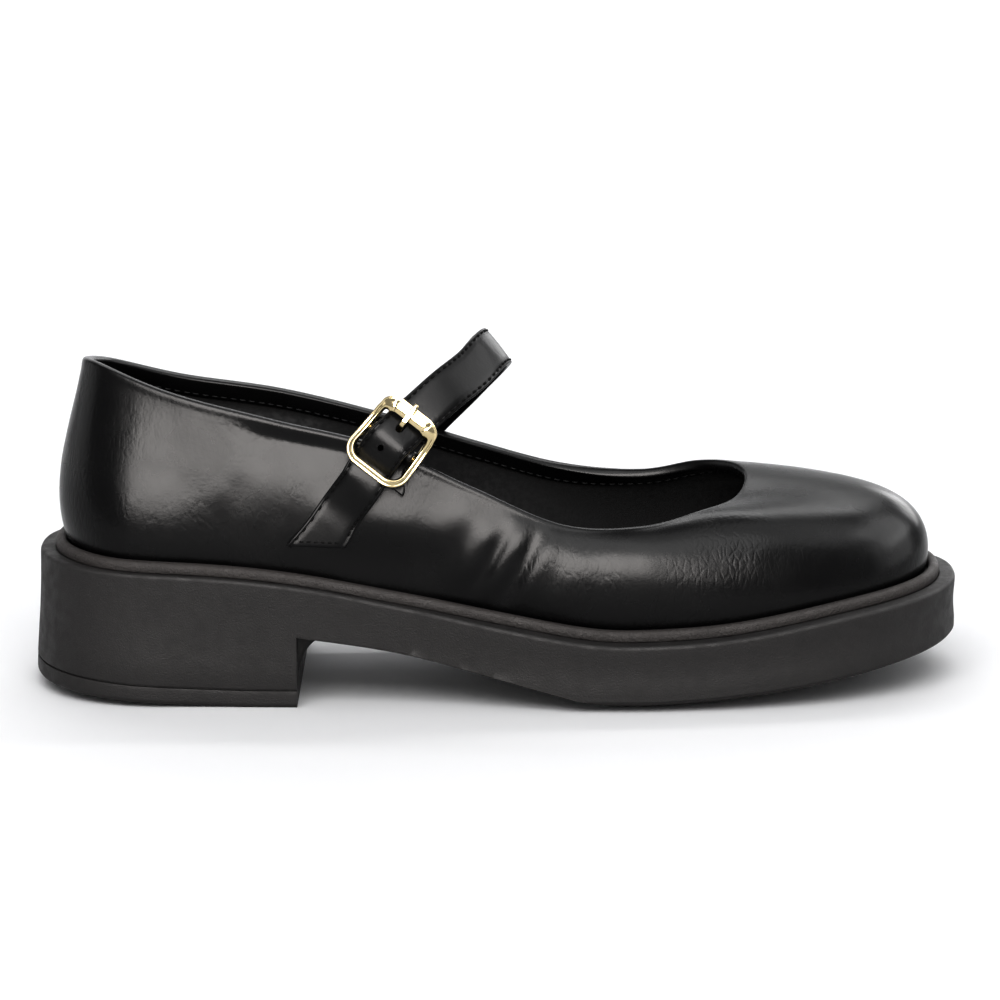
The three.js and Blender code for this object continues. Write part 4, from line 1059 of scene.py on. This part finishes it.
# The strap's inner face from its tip to its sewn end. On the upper: side view place from the
# buckle, lift and a guess of the turn. Over the tab: u, v, n. In the air: place and the way out.
ON_OUTER = [(-20.6, -27.9, 0.5, 0.36), (-17.9, -24.2, 0.45, 0.37), (-14.2, -18.9, 0.55, 0.38)]
OVER_TAB = [
    (HINGE_AT - 1.2, -0.2, STRAP_UNDER_BAR - 0.5), (HINGE_AT + 1.8, 0.2, STRAP_UNDER_BAR - 0.1),
    (-8.2, 0.5, STRAP_UNDER_BAR), (-4.6, 0.6, 0.9), (0, 0.5, STRAP_OVER_TAB), (4.6, -0.1, 0.9),
    (8.2, -0.4, STRAP_UNDER_BAR - 0.25), (BAR_END + 1, -1.1, STRAP_UNDER_BAR - 0.35),
]
IN_AIR = [
    ((15.4, -20.9, 13.5), (0.2, -0.86, 0.47)), ((22.8, -12.5, 17.9), (0.45, -0.63, 0.63)),
    ((27.2, -3.5, 21.3), (0.7, -0.25, 0.67)), ((29, 4, 20.9), (0.78, 0.05, 0.62)),
    ((26.8, 13, 16.2), (0.66, 0.5, 0.55)), ((20.1, 21.3, 7.4), (0.42, 0.8, 0.43)),
]
ON_INNER = [(7.4, -8, 0.9, 1.6), (0.2, -17.5, 0.5, 1.6), (-3.6, -23, 0.5, 1.6)]


def laid(ds, dz, lift, turn):
    point, normal = on_upper(BUCKLE[0] + ds, BUCKLE[2] + dz, turn)
    return point + normal * lift, normal


def strap_stations():
    """Points of the strap's inner face, each with the way out there."""
    side_view = BUCKLE * (1, 0, 1)
    return [*(laid(*place) for place in ON_OUTER),
            *((in_buckle(*place), OUT) for place in OVER_TAB),
            *((side_view + place, unit(np.array(out, float))) for place, out in IN_AIR),
            *(laid(*place) for place in ON_INNER)]


class StrapRun:
    """The strap's inner face by distance from the middle of its tip, with its own directions."""

    def __init__(self):
        stations = strap_stations()
        share = np.linspace(0, 1, 4001)
        self.points = centripetal([p for p, _ in stations], share)
        along = unit(np.gradient(self.points, axis=0))
        index = share * (len(stations) - 1)
        i = np.minimum(index.astype(int), len(stations) - 2)
        outs = np.array([n for _, n in stations])
        out = lerp(outs[i], outs[i + 1], ease(index - i)[:, None])
        # The turn of the strap changes gently between its stations.
        kernel = np.hanning(161)
        padded = np.pad(out, ((80, 80), (0, 0)), mode="edge")
        out = np.stack([np.convolve(padded[:, c], kernel / kernel.sum(), mode="valid")
                        for c in range(3)], 1)
        out = unit(out - along * (out * along).sum(1, keepdims=True))
        self.along, self.out, self.across = along, out, np.cross(out, along)
        steps = np.linalg.norm(np.diff(self.points, axis=0), axis=1)
        self.distance = np.concatenate([[0], np.cumsum(steps)])
        self.length = self.distance[-1]

    def at(self, d):
        """Point and directions along, out and across. Before its start it runs straight on."""
        d = np.asarray(d, float)

        def pick(table):
            return np.stack([np.interp(d, self.distance, table[:, c]) for c in range(3)], -1)

        before = np.minimum(d, 0)[..., None]
        return (pick(self.points) + before * self.along[0], unit(pick(self.along)),
                unit(pick(self.out)), unit(pick(self.across)))

    def place(self, d, v, n):
        point, _, out, across = self.at(d)
        v, n = (np.asarray(value, float)[..., None] for value in (v, n))
        return point + across * v + out * n


RUN = StrapRun()
TIP_SLANT, TIP_EXTRA = 4.7, 2.3
STITCH_PITCH, STITCH_MARGIN, TIP_ROW = 2.3, 5.42, 1.7
HALF = STRAP_WIDTH / 2


def slanted(d, v):
    """Distance along the strap of a point at v, with the tip cut at a slant."""
    return d - (v / HALF * TIP_SLANT + TIP_EXTRA) * (1 - ease(d / 16))


def flared(d, v):
    """The strap spreads a little towards its cut end."""
    return v * (1 + 0.1 * (1 - ease(d / 9)))


# Half the strap's section. Its edge from the lining side to the face, as inset and height, shows
# lining, core and face pressed together. Its face, as v and height, has a groove for the stitches.
EDGE_PROFILE = [
    (0.5, 0.0), (0.12, 0.04), (0.02, 0.2), (0, 0.52), (0.07, 0.62), (0.08, 0.7), (0.01, 0.8),
    (0, 1.15), (0.07, 1.24), (0.08, 1.32), (0.01, 1.42), (0, 1.66), (0.08, 1.86), (0.28, 1.98),
]
FACE_PROFILE = [
    (5.85, 2.02), (5.6, 1.86), (STITCH_MARGIN, 1.8), (5.2, 1.86), (4.8, 2.04), (3.6, 2.12),
    (2.4, 2.15), (1.2, 2.17), (0, 2.18),
]
STRAP_SECTION = [(HALF - inset, n) for inset, n in EDGE_PROFILE] + FACE_PROFILE
STRAP_SECTION += [(-v, n) for v, n in reversed(STRAP_SECTION[:-1])]
STRAP_SECTION += [(-HALF + 2.5, 0.0), (0.0, 0.0), (HALF - 2.5, 0.0)]


def strap_band():
    d = np.concatenate([[-0.02, 0.05, 0.2, 0.45, 0.8], np.linspace(1.2, RUN.length, 330)])
    columns = []
    for v, n in STRAP_SECTION:
        thin = 1 - 0.3 * np.exp(-np.maximum(d, 0) / 0.35)
        where = slanted(d, np.full_like(d, v))
        columns.append(RUN.place(where, flared(d, v), (n - 1.0) * thin + 1.0))
    return band_object("strap_band", np.stack(columns, 1), STRAP)


def hole_cutter(u, v, length=0.0, radius=1.2):
    """A round or long hole through the strap, square to the buckle."""
    grid = []
    for k in range(32):
        angle = 2 * math.pi * k / 32
        end = math.copysign(length / 2, math.cos(angle))
        a, b = u + end + radius * math.cos(angle), v + radius * math.sin(angle)
        grid.append([in_buckle(a, b, n) for n in (-1.0, 6.5)])
    return tube_object("cutter", grid, EDGE)


strap = strap_band()
subtract(strap, hole_cutter(-3.3, 1.3, radius=0.9))
subtract(strap, hole_cutter(5.0, PRONG_SHIFT, 1.2))
shade_over(strap, 40)


def strap_stitches():
    """A row along each edge and one across the slanted tip."""
    rows = Stitches()
    for v in (-STITCH_MARGIN, STITCH_MARGIN):
        for k in range(int((RUN.length - 4) / STITCH_PITCH)):
            d = 2.6 - math.copysign(2.2, v) + k * STITCH_PITCH
            point, along, out, across = RUN.at(slanted(d, v))
            rows.add(point + across * flared(d, v) + out * 1.9, along, out, 1.6, 0.28)
    start, end = (RUN.place(slanted(TIP_ROW, v), flared(TIP_ROW, v), STRAP_THICKNESS)
                  for v in (-STITCH_MARGIN, STITCH_MARGIN))
    row = unit(end - start)
    count = int(np.linalg.norm(end - start) / 2.0)
    for k in range(1, count):
        v = lerp(-STITCH_MARGIN, STITCH_MARGIN, k / count)
        point, _, out, across = RUN.at(slanted(TIP_ROW, v))
        centre = point + across * flared(TIP_ROW, v) + out * STRAP_THICKNESS
        rows.add(centre, unit(row - out * (row @ out)), out, 1.5, 0.28)
    return rows.finish("strap_stitches", THREAD)


seams = strap_stitches()
HINGE = from_row(JOINTS["strap_tip_lift"]["pos_m"])
nearest = RUN.distance[int(np.argmin(np.linalg.norm(RUN.points - HINGE, axis=1)))]
bend_start, bend_end = (tuple(to_row(RUN.at(nearest + reach)[0])) for reach in (2.0, -2.5))
for piece in (strap, seams):
    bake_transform(piece)
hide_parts("strap_face", "strap_core", "strap_backing",
            "strap_tip_face", "strap_tip_core", "strap_tip_backing")

# ---- buckle tab

TAB_LENGTH, TAB_SHIFT, TAB_WIDTH, TAB_FOOT_WIDTH = 10.0, -3.6, 15.0, 16.0
# The tab's back lies a little above the upper, which is BAR_HEIGHT below the buckle's bar.
BAR_HEIGHT, TAB_GAP = 3.8, 0.6
TAB_SURFACE = TAB_GAP - BAR_HEIGHT


def tab_path():
    """The tab's middle line as (u, n): up one leaf, round the bar and back down the other."""
    middle = TAB_INSIDE + TAB_LEATHER / 2
    lowest = TAB_SURFACE + TAB_LEATHER / 2
    upper_leaf = lowest + TAB_LEATHER + 0.1
    loop = [(middle * math.cos(a), middle * math.sin(a))
            for a in np.linspace(math.pi * 0.82, -math.pi * 0.55, 15)]
    points = [(-TAB_LENGTH, upper_leaf), (-7.5, upper_leaf), (-4.4, upper_leaf + 0.15),
              (-2.6, upper_leaf + 0.9), *loop,
              (-2.6, lowest + 0.1), (-4.4, lowest), (-7.5, lowest), (-TAB_LENGTH, lowest)]
    return centripetal([(u, 0.0, n) for u, n in points], np.linspace(0, 1, 150))[:, [0, 2]]


def tab_frame(path, i):
    """Point, directions along and out, shift and half width at step i."""
    along = unit(path[min(i + 1, len(path) - 1)] - path[max(i - 1, 0)])
    side = np.array([-along[1], along[0]])
    fan = float(ease((-path[i][0] - 3.5) / (TAB_LENGTH - 3.5)))
    return path[i], along, side, TAB_SHIFT * fan, lerp(TAB_WIDTH, TAB_FOOT_WIDTH, fan) / 2


def tab():
    path = tab_path()
    thick = TAB_LEATHER / 2
    columns = []
    for i in range(len(path)):
        (u, n), _, side, shift, half = tab_frame(path, i)
        edge, groove = half - 0.2, half - 0.9
        profile = [(-half, -0.2), (-half, 0.2), (-edge, thick), (-groove, thick - 0.04), (0, thick),
                   (groove, thick - 0.04), (edge, thick), (half, 0.2), (half, -0.2),
                   (edge, -thick), (0, -thick), (-edge, -thick)]
        columns.append([in_buckle(u + side[0] * h, shift + v, n + side[1] * h)
                        for v, h in profile])
    return band_object("tab_loop", columns, STRAP)


def tab_stitches():
    """A row along each edge of the leaf that shows, up to the bar."""
    path = tab_path()
    rows = Stitches()
    travelled, next_at = 0.0, 1.2
    for i in range(1, len(path)):
        travelled += float(np.linalg.norm(path[i] - path[i - 1]))
        point, along, side, shift, half = tab_frame(path, i)
        if travelled < next_at or point[0] > 1.2:
            continue
        if point[1] < -0.6 and travelled > 12:
            break
        next_at = travelled + 2.5
        u, n = point - side * (TAB_LEATHER / 2)
        run = LEAN * along[0] + OUT * along[1]
        up = -(LEAN * side[0] + OUT * side[1])
        for v in (shift - (half - 0.95), shift + (half - 0.95)):
            rows.add(in_buckle(u, v, n), run, up, 1.8, 0.22)
    return rows.finish("tab_stitches", THREAD)


attach(tab(), "root", "leather", "buckle_tab")
attach(tab_stitches(), "root", "leather")

# ---- hidden pieces keep their CAD shape

HIDDEN = {
    "forefoot_filler": FELT, "sock_foam": FELT, "insole_board": BOARD, "heel_counter": BOARD,
    "toe_puff": BOARD, "shank": STEEL, "shank_rivet_rear": STEEL, "shank_rivet_front": STEEL,
}
for node, material in HIDDEN.items():
    data = frame["nodes"][node].data
    data.materials.clear()
    data.materials.append(material)

# ---- stage, lights and camera


def stage_sheet():
    """A pale floor that curves up far behind the shoe."""
    bend_at, bend = 2.2, 1.2
    profile = [(-4.0, 0.0)] + [(y, 0.0) for y in np.linspace(-1.0, bend_at, 5)]
    profile += [(bend_at + bend * math.sin(a), bend - bend * math.cos(a))
                for a in np.linspace(0.1, math.pi / 2, 14)]
    profile += [(bend_at + bend, 4.0)]
    vertices = [(x, y, z) for x in (-6, 6) for y, z in profile]
    rows = len(profile)
    faces = [(i, i + 1, rows + i + 1, rows + i) for i in range(rows - 1)]
    paper = Look("paper", Roughness=0.9, Base_Color=(0.9, 0.9, 0.905, 1))
    return mesh_object("studio_floor", np.array(vertices, float), faces, paper.material)


def area_light(name, place, aim, size, power, colour=(1, 1, 1), reflection_only=False):
    data = bpy.data.lights.new(name, "AREA")
    data.shape = "RECTANGLE"
    data.size, data.size_y = size
    data.energy = power
    data.color = colour
    obj = bpy.data.objects.new(name, data)
    obj.location = place
    direction = Vector(aim) - Vector(place)
    obj.rotation_euler = direction.to_track_quat("-Z", "Y").to_euler()
    obj.visible_camera = False
    obj.visible_diffuse = not reflection_only
    bpy.context.scene.collection.objects.link(obj)


stage_sheet()

area_light("overhead", (-0.1, -1.1, 1.3), (0, 0, 0), (1.8, 1.1), 21)
area_light("backdrop", (0.0, 1.4, 2.4), (0, 3.2, 0.8), (3.0, 1.0), 80)

# Cards that only show as shine on the leather, and add no light to the floor: place, size, power.
CARD_AIM = (0, 0, 0.06)
WARM = (1.0, 0.965, 0.94)
area_light("front_card", (-0.12, -1.1, 0.55), CARD_AIM, (1.0, 0.56), 36, WARM, True)
CARDS = {
    "rear_top_card": ((0.2, 0.75, 1.25), (1.0, 0.6), 10),
    "top_front_card": ((0.5, -0.5, 1.3), (1.4, 1.0), 11),
    "right_top_card": ((1.2, 0.15, 1.0), (1.0, 0.8), 13),
    "right_rear_card": ((0.9, 1.3, 0.6), (0.8, 0.6), 7),
    "left_card": ((-1.5, 0.3, 0.35), (1.0, 0.8), 3),
    "right_card": ((1.5, -0.1, 0.5), (1.0, 0.9), 8),
}
for name, (place, size, power) in CARDS.items():
    area_light(name, place, CARD_AIM, size, power, reflection_only=True)

world = bpy.data.worlds.new("studio")
bpy.context.scene.world = world
world.use_nodes = True
background = world.node_tree.nodes["Background"]
background.inputs["Color"].default_value = (0.97, 0.98, 1.0, 1)
background.inputs["Strength"].default_value = 0.45
bpy.context.scene.view_settings.view_transform = "Standard"
bpy.context.scene.view_settings.gamma = 0.78

CAMERA_BACK, CAMERA_UP, CAMERA_PITCH = 1200.0, 335.0, 13.23
SENSOR_WIDTH, LENS = 36.0, 150.876
camera_data = bpy.data.cameras.new("camera")
camera_data.sensor_width = SENSOR_WIDTH
camera_data.lens = LENS
camera = bpy.data.objects.new("camera", camera_data)
camera.location = to_row((SOLE_LENGTH / 2, -CAMERA_BACK, CAMERA_UP))
camera.rotation_euler = (math.radians(90 - CAMERA_PITCH), 0, 0)
bpy.context.scene.collection.objects.link(camera)
bpy.context.scene.camera = camera
